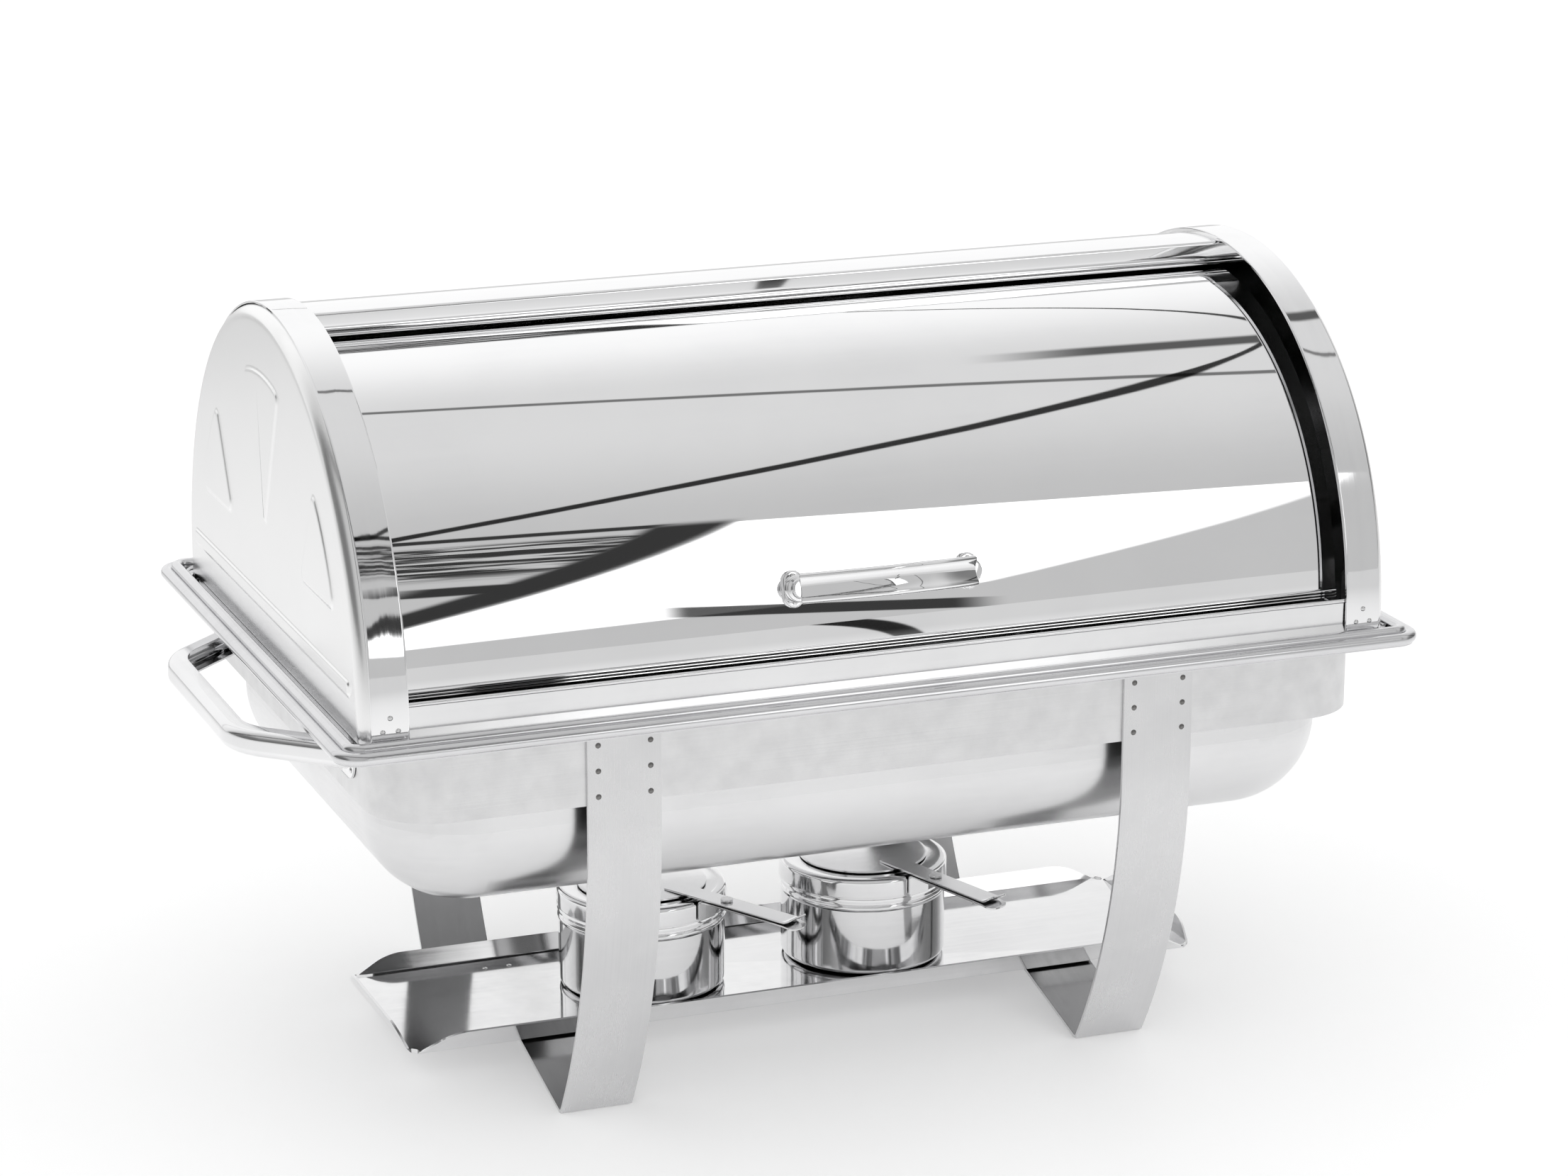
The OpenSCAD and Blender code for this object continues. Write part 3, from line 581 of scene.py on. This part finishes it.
shade_side_tilt = 0.03
for face in leg.data.polygons:  # the faces that look inwards and up get the darker copy: painted shade
    outwards = face.center.y * face.normal.y - shade_side_tilt * face.normal.z
    if abs(face.normal.x) < 0.5 and outwards < 0:
        face.material_index = 1
soften(leg, 0.0004, 2)
other_leg = copy_of(leg, "leg_strap_left", move=(-leg_step, 0, 0))
hand_over(leg, brushed_leg, "frame", "brushed_frame", "leg_right")
hand_over(other_leg, brushed_leg, "frame", "brushed_frame", "leg_left")

weld_mark = steel("weld_mark", (0.20, 0.195, 0.19), (0.07, 0.07, 0.07), grain=(200, 200, 200),
                  grain_depth=0.4, rough=(0.28, 0.5), wave=(60, 0.1), edge_light=0.2)
bright_mark = steel("bright_mark", (0.80, 0.80, 0.80), (0.62, 0.62, 0.62), grain=(200, 200, 200),
                    grain_depth=0.2, rough=(0.10, 0.25), wave=(60, 0.1), edge_light=0.2)
dress(weld_mark, "leg_welds")

# ---------------------------------------------------------------------------
# Fuel tray: one folded sheet of bright stainless. The four flanges lean out
# and their ends are cut at a slant, so the corners stay open. It lies on the
# leg ramps, held by two spots over each strap, front and back.
# ---------------------------------------------------------------------------
bright_tray = steel("bright_tray", (0.77, 0.77, 0.775), (0.64, 0.64, 0.65),
                    grain=(9, 380, 380), grain_depth=0.05, rough=(0.05, 0.13), wave=(7, 0.05))
sheet = 0.0012
tray_z, end_x, side_y = 0.0174, 0.2145, 0.0570
fold_x, fold_y = 0.210, 0.0525
flange_x, flange_y = 0.193, 0.038
flange_lean, flange_rise = 0.0030, 0.0089
corners = [(-fold_x, -side_y), (fold_x, -side_y), (end_x, -fold_y), (end_x, fold_y),
           (fold_x, side_y), (-fold_x, side_y), (-end_x, fold_y), (-end_x, -fold_y)]
tray = close_line([(x, y, tray_z) for x, y in corners], "fuel_tray_sheet")
for side in (-1, 1):
    pick("edges", lambda p: abs(p.x) < 0.01 and p.y * side > 0.056)
    pull(y=side * flange_lean, z=flange_rise)
    bpy.ops.transform.resize(value=(flange_x / fold_x, 1, 1), center_override=(0, 0, 0))
    pick("edges", lambda p: abs(p.y) < 0.01 and p.x * side > 0.214 and p.z < 0.018)
    pull(x=side * flange_lean, z=flange_rise)
    bpy.ops.transform.resize(value=(1, flange_y / fold_y, 1), center_override=(0, 0, 0))
pick("verts", lambda p: p.z > 0.020)
bpy.ops.mesh.bevel(offset=0.0075, segments=7, affect="VERTICES")
pick("verts", lambda p: p.z < 0.018 and (abs(p.x) > 0.214 or abs(p.y) > 0.0565))
bpy.ops.mesh.bevel(offset=0.0016, segments=3, affect="VERTICES")
thicken(tray, sheet)
soften(tray, 0.0016, 4, angle=50)
hand_over(tray, bright_tray, "frame", "bright_tray", "fuel_tray", angle=40)
dress(bright_mark, "tray_welds")

# ---------------------------------------------------------------------------
# End handles: a strip pressed into a channel with round outer corners, bent
# to a bow and welded to the collar by two round-ended feet. Polished outside,
# left open towards the collar.
# ---------------------------------------------------------------------------
polished_handle = steel("polished_handle", (0.88, 0.88, 0.885), (0.76, 0.76, 0.77),
                        grain=(260, 12, 260), grain_depth=0.06, rough=(0.06, 0.14), wave=(22, 0.04))
grip_z, grip_x, bend_x = 0.193, 0.304, 0.266
grip_half, arm_length, bend = 0.050, 0.060, math.radians(47)
foot_x, foot_y, foot_round = 0.2563, 0.1103, 0.0095
outline = [(-0.0100, -0.0065), (-0.0045, -0.0065)]
outline += arc(-0.0045, -0.0020, 0.0045, -90, 0, 8)[1:]
outline += arc(-0.0045, 0.0020, 0.0045, 0, 90, 8)
outline += [(-0.0100, 0.0065), (-0.0103, 0.0063), (-0.0103, 0.0054), (-0.0100, 0.0052)]
outline += arc(-0.0045, 0.0020, 0.0032, 90, 0, 6)
outline += arc(-0.0045, -0.0020, 0.0032, 0, -90, 6)
outline += [(-0.0100, -0.0052), (-0.0103, -0.0054), (-0.0103, -0.0063)]
handle = close_line([(grip_x + x, 0.0, grip_z + z) for x, z in outline], "end_grip_right")
pull(y=grip_half)
bpy.ops.mesh.spin(steps=18, angle=-bend, center=(bend_x, grip_half, grip_z), axis=(0, 0, 1))
bpy.ops.mesh.select_mode(type="FACE")
pull(x=-arm_length * math.sin(bend), y=arm_length * math.cos(bend))
bpy.ops.mesh.select_all(action="SELECT")
bpy.ops.mesh.bisect(plane_co=(0.2568, 0, 0), plane_no=(-1, 0, 0), use_fill=True, clear_outer=True)
pick("faces", lambda p: abs(p.y) < 0.00001)
bpy.ops.mesh.delete(type="FACE")
in_hand(handle)
half = handle.modifiers.new("other_half", "MIRROR")
half.use_axis = (False, True, False)
half.merge_threshold = 0.0001
bpy.ops.object.modifier_apply(modifier=half.name)
bpy.ops.object.mode_set(mode="EDIT")
for side in (-1, 1):
    foot = [(-0.0120, foot_round), (-0.0120, -foot_round)] + arc(0, 0, foot_round, -90, 90, 16)
    close_line([(foot_x, side * (foot_y + y), grip_z + z) for y, z in foot])
    bpy.ops.mesh.select_mode(type="FACE")
    pull(x=0.0011)
    bpy.ops.mesh.inset(thickness=0.0004, depth=0.0003)
tidy_solid(handle)
other_handle = copy_of(handle, "end_grip_left", mirror=True)
hand_over(handle, polished_handle, "frame", "polished_handle", "handle_right", angle=38)
hand_over(other_handle, polished_handle, "frame", "polished_handle", "handle_left", angle=38)
dress(bright_mark, "handle_welds")

# ---------------------------------------------------------------------------
# Pans: deep-drawn stainless. The water pan hangs through the collar with a
# wide round to its floor; the food pan nests in it, and only its lip shows.
# ---------------------------------------------------------------------------
satin_pan = steel("satin_pan", (0.76, 0.76, 0.765), (0.68, 0.68, 0.685), grain=(40, 40, 300),
                  grain_depth=0.05, rough=(0.20, 0.27), wave=(6, 0.06), edge_light=0.3)
dress(satin_pan, "water_pan", "food_pan")

# ---------------------------------------------------------------------------
# End panels: the half-round ends of the lid, pressed from pale satin sheet
# with a rounded rim, a raised fan of three fields and a long bead below.
# ---------------------------------------------------------------------------
pressed_panel = steel("pressed_panel", (0.95, 0.95, 0.95), (0.92, 0.92, 0.923),
                      grain=(60, 60, 60), grain_depth=0.004, rough=(0.20, 0.25), wave=(8, 0.03),
                      edge_light=0.25)
hinge = (0.0, 0.0, 0.224)
lid_foot = 0.2151
rise = hinge[2] - lid_foot
rim_radius, rim_round, face_x = 0.1619, 0.0069, 0.2645
fan_radius, field_round, bead_round = 0.133, 0.006, 0.0035
across = [(x, -r) for r, x in arc(0.155, 0.2575, rim_round, 90, 0, 10)] + [(0.2435, -rim_radius)]
panel = draw_line([(x, y, lid_foot) for x, y in across], "end_panel_pressed_right")
bpy.ops.mesh.select_all(action="SELECT")
pull(z=rise)
bpy.ops.mesh.spin(steps=96, angle=math.radians(180), center=hinge, axis=(1, 0, 0))
pull(z=-rise)
bpy.ops.mesh.select_all(action="SELECT")
bpy.ops.mesh.remove_doubles(threshold=0.00001)
pick("verts", lambda p: p.x > 0.26435)
bpy.ops.mesh.edge_face_add()
bpy.ops.mesh.inset(thickness=0.002, depth=0.0)
thicken(panel, sheet)
bpy.ops.object.mode_set(mode="EDIT")


def rounded(corners):
    """An outline of corners, each given with the radius that rounds it."""
    line = []
    for i, (y, z, radius) in enumerate(corners):
        here = Vector((0, y, z))
        ends = (i - 1, (i + 1) % len(corners))
        back, ahead = (Vector((0, *corners[j][:2])) - here for j in ends)
        back, ahead, half = back.normalized(), ahead.normalized(), back.angle(ahead) / 2
        middle = here + (back + ahead).normalized() * radius / math.sin(half)
        first, last = (here + way * radius / math.tan(half) - middle for way in (back, ahead))
        steps = [step / 7 for step in range(8)] if radius else []
        line += [middle + first.slerp(last, step).normalized() * radius for step in steps] or [here]
    return line


fields = []
for side in (-1, 1):
    rim_arc = [(side * y, hinge[2] + z) for y, z in arc(0, 0, fan_radius, 19.3, 47.5, 8)]
    fields.append([(side * 0.0615, 0.268, field_round), (*rim_arc[0], field_round)]
                  + [(y, z, 0) for y, z in rim_arc[2:-2]] + [(*rim_arc[-1], field_round)])
top_arc = [(y, hinge[2] + z) for y, z in arc(0, 0, fan_radius, 75, 105, 10)]
fields.append([(0.0, 0.275, bead_round), (*top_arc[0], field_round)]
              + [(y, z, 0) for y, z in top_arc[2:-2]] + [(*top_arc[-1], field_round)])
bead_end, bead_low, bead_high = 0.146, 0.2330, 0.2425
fields.append([(-bead_end, bead_low, bead_round), (bead_end, bead_low, bead_round),
               (bead_end, bead_high, bead_round), (-bead_end, bead_high, bead_round)])
for corners, slope in zip(fields, (1.0, 1.0, 1.0, 0.7)):
    close_line([(face_x, p.y, p.z) for p in rounded(corners)])
    bpy.ops.mesh.select_mode(type="FACE")
    pull(x=0.0005)
    for inward, outward in ((0.0007, 0.00008), (0.0006, 0.00020), (0.0005, 0.00027),
                            (0.0005, 0.00022), (0.0006, 0.00013), (0.0008, 0.00006)):
        bpy.ops.mesh.inset(thickness=inward * slope, depth=0.0)
        bpy.ops.transform.translate(value=(outward, 0, 0))
tidy_solid(panel)
other_panel = copy_of(panel, "end_panel_pressed_left", mirror=True)
hand_over(panel, pressed_panel, "lid", "pressed_panel", "end_panel_right", angle=50)
hand_over(other_panel, pressed_panel, "lid", "pressed_panel", "end_panel_left", angle=50)

# ---------------------------------------------------------------------------
# End bands: strips of mirror sheet rolled to the half round of the panels,
# with their long edges eased, and spotted to the panel at each foot.
# ---------------------------------------------------------------------------
mirror_band = steel("mirror_band", (0.93, 0.93, 0.935), (0.84, 0.84, 0.85), grain=(260, 9, 9),
                    grain_depth=0.015, rough=(0.015, 0.055), wave=(26, 0.16), edge_light=0.25)
section = [(0.2420, 0.1625), (0.2420, 0.1633), (0.24213, 0.16352), (0.24245, 0.16366),
           (0.2430, 0.1637), (0.2595, 0.1637), (0.26005, 0.16366), (0.26037, 0.16352),
           (0.2605, 0.1633), (0.2605, 0.1625)]
band = close_line([(x, -r, lid_foot) for x, r in section], "end_band_polished_right")
bpy.ops.mesh.select_mode(type="FACE")
pull(z=rise)
bpy.ops.mesh.spin(steps=120, angle=math.radians(180), center=hinge, axis=(1, 0, 0))
pull(z=-rise)
tidy_solid(band)
other_band = copy_of(band, "end_band_polished_left", mirror=True)
hand_over(band, mirror_band, "lid", "mirror_dome", "end_band_right")
hand_over(other_band, mirror_band, "lid", "mirror_dome", "end_band_left")
dress(bright_mark, "band_welds")

# ---------------------------------------------------------------------------
# Front skirt: a low folded strip that joins the end panels at the front. Its
# top edge is rolled, and its foot flares out over the pans' lips.
# ---------------------------------------------------------------------------
skirt_steel = steel("skirt_steel", (0.84, 0.84, 0.845), (0.74, 0.74, 0.75), grain=(6, 300, 300),
                    grain_depth=0.05, rough=(0.12, 0.2), wave=(7, 0.06), edge_light=0.3)
dress(skirt_steel, "front_skirt")

# ---------------------------------------------------------------------------
# Rear shell: the fixed quarter of the lid, rolled from mirror sheet. Its
# front edge is folded down over the cover and rolled round a small bead.
# ---------------------------------------------------------------------------
mirror_shell = steel("mirror_shell", (0.93, 0.93, 0.935), (0.85, 0.85, 0.86), grain=(5, 200, 200),
                     grain_depth=0.015, rough=(0.012, 0.045), wave=(9, 0.07), edge_light=0.25)
shell_radius, shell_length = 0.1607, 0.515
outline = [(shell_radius, lid_foot), (shell_radius, hinge[2])]
outline += arc(0, hinge[2], shell_radius, 0, 92.9, 96)[1:]
outline += arc(-0.00815, 0.38325, 0.0013, 93, 176, 6)[1:]
outline += [(-0.00945, 0.3795), (-0.00940, 0.3772), (-0.00900, 0.37650), (-0.00900, 0.3762)]
outline += arc(-0.0094, 0.3747, 0.0012, 75, -190, 14)
shell = draw_line([(-shell_length / 2, y, z) for y, z in outline], "rear_shell_rolled")
bpy.ops.mesh.select_all(action="SELECT")
pull(x=shell_length)
thicken(shell, sheet)
soften(shell, 0.0002, 2, angle=60)
hand_over(shell, mirror_shell, "lid", "mirror_dome", "rear_shell")

# ---------------------------------------------------------------------------
# Pivot pins and stop tabs: turned pins hold the cover's hubs, and two pressed
# tabs behind the bands stop the cover when it is closed.
# ---------------------------------------------------------------------------
turned_steel = steel("turned_steel", (0.66, 0.66, 0.665), (0.5, 0.5, 0.505), grain=(380, 30, 30),
                     grain_depth=0.2, rough=(0.2, 0.34), wave=(30, 0.02))
dress(turned_steel, "pivot_pin_left", "pivot_pin_right", "stop_tabs")

# ---------------------------------------------------------------------------
# Roll cover: a mirror sheet rolled to a little over a quarter round. The front
# edge is folded to a hem with three rolled lines, and two spoked end rings
# carry it on the pins.
# ---------------------------------------------------------------------------
mirror_cover = steel("mirror_cover", (0.94, 0.94, 0.945), (0.87, 0.87, 0.88), grain=(5, 160, 160),
                     grain_depth=0.012, rough=(0.006, 0.022), wave=(6, 0.05), edge_light=0.2)
cover_radius, cover_length, hem_length = 0.1474, 0.4876, 0.4872
cover_front, cover_back = 180 - 2.8, 180 - 104.0
outline = arc(0, hinge[2], cover_radius, cover_front, cover_back, 110)
cover = draw_line([(-cover_length / 2, y, z) for y, z in outline], "roll_cover_sheet")
bpy.ops.mesh.select_all(action="SELECT")
pull(x=cover_length)
thicken(cover, sheet)
bpy.ops.object.mode_set(mode="EDIT")
hem_inside, hem_foot, hem_top, line_step = -0.1468, 0.2306, 0.2352, 0.0015
hem = [(hem_inside, hem_foot), (-0.1484, hem_foot)]
for low in (hem_foot, hem_foot + line_step, hem_foot + 2 * line_step):
    hem += [(-0.1488, low + 0.0001), (-0.1491, low + 0.0003), (-0.14925, low + 0.0007),
            (-0.1491, low + 0.0011), (-0.1488, low + 0.0013)]
hem += [(-0.1482, hem_top), (hem_inside, hem_top)]
close_line([(-hem_length / 2, y, z) for y, z in hem])
bpy.ops.mesh.select_mode(type="FACE")
pull(x=hem_length)
tidy_solid(cover)
hand_over(cover, mirror_cover, "cover", "mirror_dome", "roll_cover")
dress(turned_steel, "cover_end_left", "cover_end_right")

# ---------------------------------------------------------------------------
# Cover handle: a chromed casting. A wide bowed grip with a dished, polished
# face springs from two ringed posts, whose feet are riveted to the cover.
# ---------------------------------------------------------------------------
cast_chrome = steel("cast_chrome", (0.93, 0.93, 0.935), (0.84, 0.84, 0.85), grain=(40, 40, 40),
                    grain_depth=0.02, rough=(0.02, 0.06), wave=(70, 0.12), edge_light=0.4)
post_x, ring_x, grip_depth = 0.044, 0.0452, 0.0235
bow_radius, bow_reach, handle_tilt = 0.08667, 0.0448, 15.3
ring_radius, ring_straight = 0.0050, 0.0040
post = [(0.0, 0.0118), (0.0046, 0.0118), (0.0048, 0.0100), (0.0044, 0.0088), (0.0050, 0.0080),
        (0.0060, 0.0076), (0.0065, 0.0068), (0.0062, 0.0061), (0.0053, 0.0056), (0.0058, 0.0051),
        (0.0066, 0.0046), (0.0068, 0.0038), (0.0064, 0.0031), (0.0054, 0.0027), (0.0, 0.0026)]
bow = (0.0, bow_radius - grip_depth)
handle = None
for side in (-1, 1):
    line = [(side * post_x + r, -reach, 0.0) for r, reach in post]
    handle = draw_line(line, None if handle else "cover_grip_cast")
    bpy.ops.mesh.select_linked()
    bpy.ops.mesh.spin(steps=28, angle=math.radians(360), center=(side * post_x, 0, 0),
                      axis=(0, 1, 0))
    ring = arc(0, ring_straight, ring_radius, 0, 180, 8)
    ring += arc(0, -ring_straight, ring_radius, 180, 360, 8)
    close_line([(side * ring_x + x, 0.0004, z) for x, z in ring])
    bpy.ops.mesh.select_mode(type="FACE")
    pull(y=-0.0022)
    for inward, outward in ((0.0004, 0.0004), (0.0007, 0.0003)):
        bpy.ops.mesh.inset(thickness=inward, depth=0.0)
        bpy.ops.transform.translate(value=(0, -outward, 0))
    bpy.ops.mesh.select_mode(type="VERT")
section = [(-0.0025, -0.0052), (-0.0023, -0.0062), (-0.0014, -0.0070), (0.0006, -0.0073),
           (0.0017, -0.0070), (0.0024, -0.0062), (0.0024, -0.0052), (0.0019, -0.0042),
           (0.0014, -0.0030), (0.0011, -0.0015), (0.0010, 0.0)]
section += [(o, -z) for o, z in reversed(section[:-1])]
sweep = math.degrees(math.asin(bow_reach / bow_radius))
start = math.radians(-90 - sweep)
line = []
for o, z in section:
    reach = bow_radius + o
    line.append((bow[0] + reach * math.cos(start), bow[1] + reach * math.sin(start), z))
close_line(line)
bpy.ops.mesh.select_mode(type="FACE")
bpy.ops.mesh.spin(steps=40, angle=math.radians(-2 * sweep), center=(*bow, 0), axis=(0, 0, 1))
tidy_solid(handle)
soften(handle, 0.0005, 3, angle=50)
bpy.ops.object.mode_set(mode="EDIT")
bpy.ops.mesh.select_all(action="SELECT")
bpy.ops.transform.translate(value=(0, -cover_radius - sheet / 2, 0))
bpy.ops.transform.rotate(value=math.radians(handle_tilt), orient_axis="X",
                         center_override=(0, 0, 0))
bpy.ops.transform.translate(value=hinge)
hand_over(handle, cast_chrome, "cover", "cast_chrome", "cover_handle", angle=55)
dress(bright_mark, "handle_rivets")

# ---------------------------------------------------------------------------
# Burners: two cups for fuel gel, spun from bright sheet. A ring with a rolled
# edge, a step and three pressed dimples closes each cup; a welded lever and a
# riveted one swing the snuffer disc over the mouth.
# ---------------------------------------------------------------------------
bright_burner = steel("bright_burner", (0.84, 0.84, 0.845), (0.70, 0.70, 0.71),
                      grain=(30, 30, 420), grain_depth=0.03, rough=(0.06, 0.13), wave=(22, 0.10),
                      edge_light=0.5)
brushed_disc = steel("brushed_disc", (0.84, 0.84, 0.845), (0.70, 0.70, 0.71),
                     grain=(12, 380, 60), grain_depth=0.10, rough=(0.10, 0.20), wave=(16, 0.06))


def turned(name, outline):
    """Spins a sheet drawn as radius and height round the burner's own axis."""
    piece = draw_line([(r, 0, z) for r, z in outline], name)
    bpy.ops.mesh.select_all(action="SELECT")
    bpy.ops.mesh.spin(steps=72, angle=math.radians(360), center=(0, 0, 0), axis=(0, 0, 1))
    bpy.ops.mesh.select_all(action="SELECT")
    bpy.ops.mesh.remove_doubles(threshold=0.00001)
    return piece


cup_radius, cup_wall, ring_wall, ring_top, lever_sheet = 0.0425, 0.0010, 0.0435, 0.0686, 0.0009
bead_out, bead_foot, bead_rise = 0.0008, 0.0535, 0.0036
cup_line = [(0.0, 0.01890), (0.0300, 0.01890), (0.0310, 0.01895), (0.0380, 0.01895)]
cup_line += arc(0.0397, 0.0218, 0.0028, -95, -5, 8)
cup_line += [(cup_radius, 0.0240), (cup_radius, bead_foot)]
cup_line += [(cup_radius + bead_out * math.sin(math.radians(t)), bead_foot + bead_rise * t / 180)
             for t in range(15, 181, 15)]
cup_line += [(cup_radius, 0.0578), (cup_radius, 0.0640)]
ring_line = [(ring_wall, 0.0593), (ring_wall, 0.0600), (0.0433, 0.0604), (0.0433, 0.0612),
             (ring_wall, 0.0616), (ring_wall, ring_top)]
ring_line += arc(0.0418, 0.0690, 0.0017, 0, 90, 7)
ring_line += [(0.0395, 0.0707), (0.0390, 0.07045), (0.0336, 0.07045), (0.0331, 0.0707),
              (0.0312, 0.0707), (0.0305, 0.0704), (0.0303, 0.0696), (0.0303, 0.0680)]
cup = turned("burner_cup_spun_left", cup_line)
thicken(cup, cup_wall)
ring = turned("burner_ring_pressed_left", ring_line)
dimple_z = 0.0651
for turn in (20, 140, 230):
    way = math.radians(turn)
    spot = Vector((ring_wall * math.cos(way), ring_wall * math.sin(way), dimple_z))
    pick("faces", lambda p: (p - spot).length < 0.0036 and p.z < ring_top)
    bpy.ops.mesh.subdivide(number_cuts=5)
    for width, depth in ((0.0024, 0.0005), (0.0019, 0.0007)):
        pick("verts", lambda p: (p - spot).length < width)
        inward = (-depth * spot.x / ring_wall, -depth * spot.y / ring_wall, 0)
        bpy.ops.transform.translate(value=inward)
thicken(ring, lever_sheet)

fixed_width, swing_width = 0.013, 0.012
fixed_line = [(0.0446, 0.0612), (0.0446, 0.0705), (0.0450, 0.0714), (0.0462, 0.0718),
              (0.0940, 0.0718), (0.1000, 0.0717), (0.1040, 0.0713), (0.1070, 0.0705)]
bracket = draw_line([(x, -fixed_width / 2, z) for x, z in fixed_line], "lever_fixed_left")
bpy.ops.mesh.select_all(action="SELECT")
pull(y=fixed_width)
pick("verts", lambda p: p.x > 0.1065)
bpy.ops.mesh.bevel(offset=0.0060, segments=8, affect="VERTICES")
pick("verts", lambda p: p.z < 0.0615)
bpy.ops.mesh.bevel(offset=0.0012, segments=3, affect="VERTICES")
thicken(bracket, lever_sheet)
soften(bracket, 0.0002, 2)

disc_line = [(0.0, 0.07235), (0.0240, 0.07230), (0.0262, 0.07215), (0.0320, 0.07205),
             (0.0336, 0.07200)]
swing_line = [(0.0200, 0.07325), (0.0985, 0.07325), (0.1005, 0.07345), (0.1025, 0.0742),
              (0.1045, 0.0755), (0.1062, 0.0768)]
snuffer = turned("snuffer_lid_left", disc_line)
draw_line([(x, -swing_width / 2, z) for x, z in swing_line])
bpy.ops.mesh.select_linked()
pull(y=swing_width)
pick("verts", lambda p: p.x > 0.1060 and p.z > 0.0765)
bpy.ops.mesh.bevel(offset=0.0035, segments=5, affect="VERTICES")
pick("verts", lambda p: p.x < 0.0201 and p.z > 0.0731)
bpy.ops.mesh.bevel(offset=0.0015, segments=3, affect="VERTICES")
thicken(snuffer, lever_sheet)
soften(snuffer, 0.0002, 2)

left_place, left_turn, right_place, right_turn = -0.073, -61.0, 0.050, -71.6
burner = ((cup, "burner_cup_spun_right", bright_burner, "burner_", "burner_cup_"),
          (ring, "burner_ring_pressed_right", bright_burner, "burner_", "burner_ring_"),
          (bracket, "lever_fixed_right", brushed_disc, "burner_", "lever_bracket_"),
          (snuffer, "snuffer_lid_right", brushed_disc, "snuffer_arm_", "snuffer_"))
for left_piece, right_name, finish, body, node in burner:
    right_piece = copy_of(left_piece, right_name)
    for piece, side, turn, place in ((left_piece, "left", left_turn, left_place),
                                     (right_piece, "right", right_turn, right_place)):
        in_hand(piece)
        bpy.ops.object.mode_set(mode="EDIT")
        bpy.ops.mesh.select_all(action="SELECT")
        bpy.ops.transform.rotate(value=math.radians(-turn), orient_axis="Z",
                                 center_override=(0, 0, 0))
        bpy.ops.transform.translate(value=(place, 0, 0))
        hand_over(piece, finish, body + side, "bright_burner", node + side, angle=38)
dress(turned_steel, "lever_rivet_left", "lever_rivet_right")
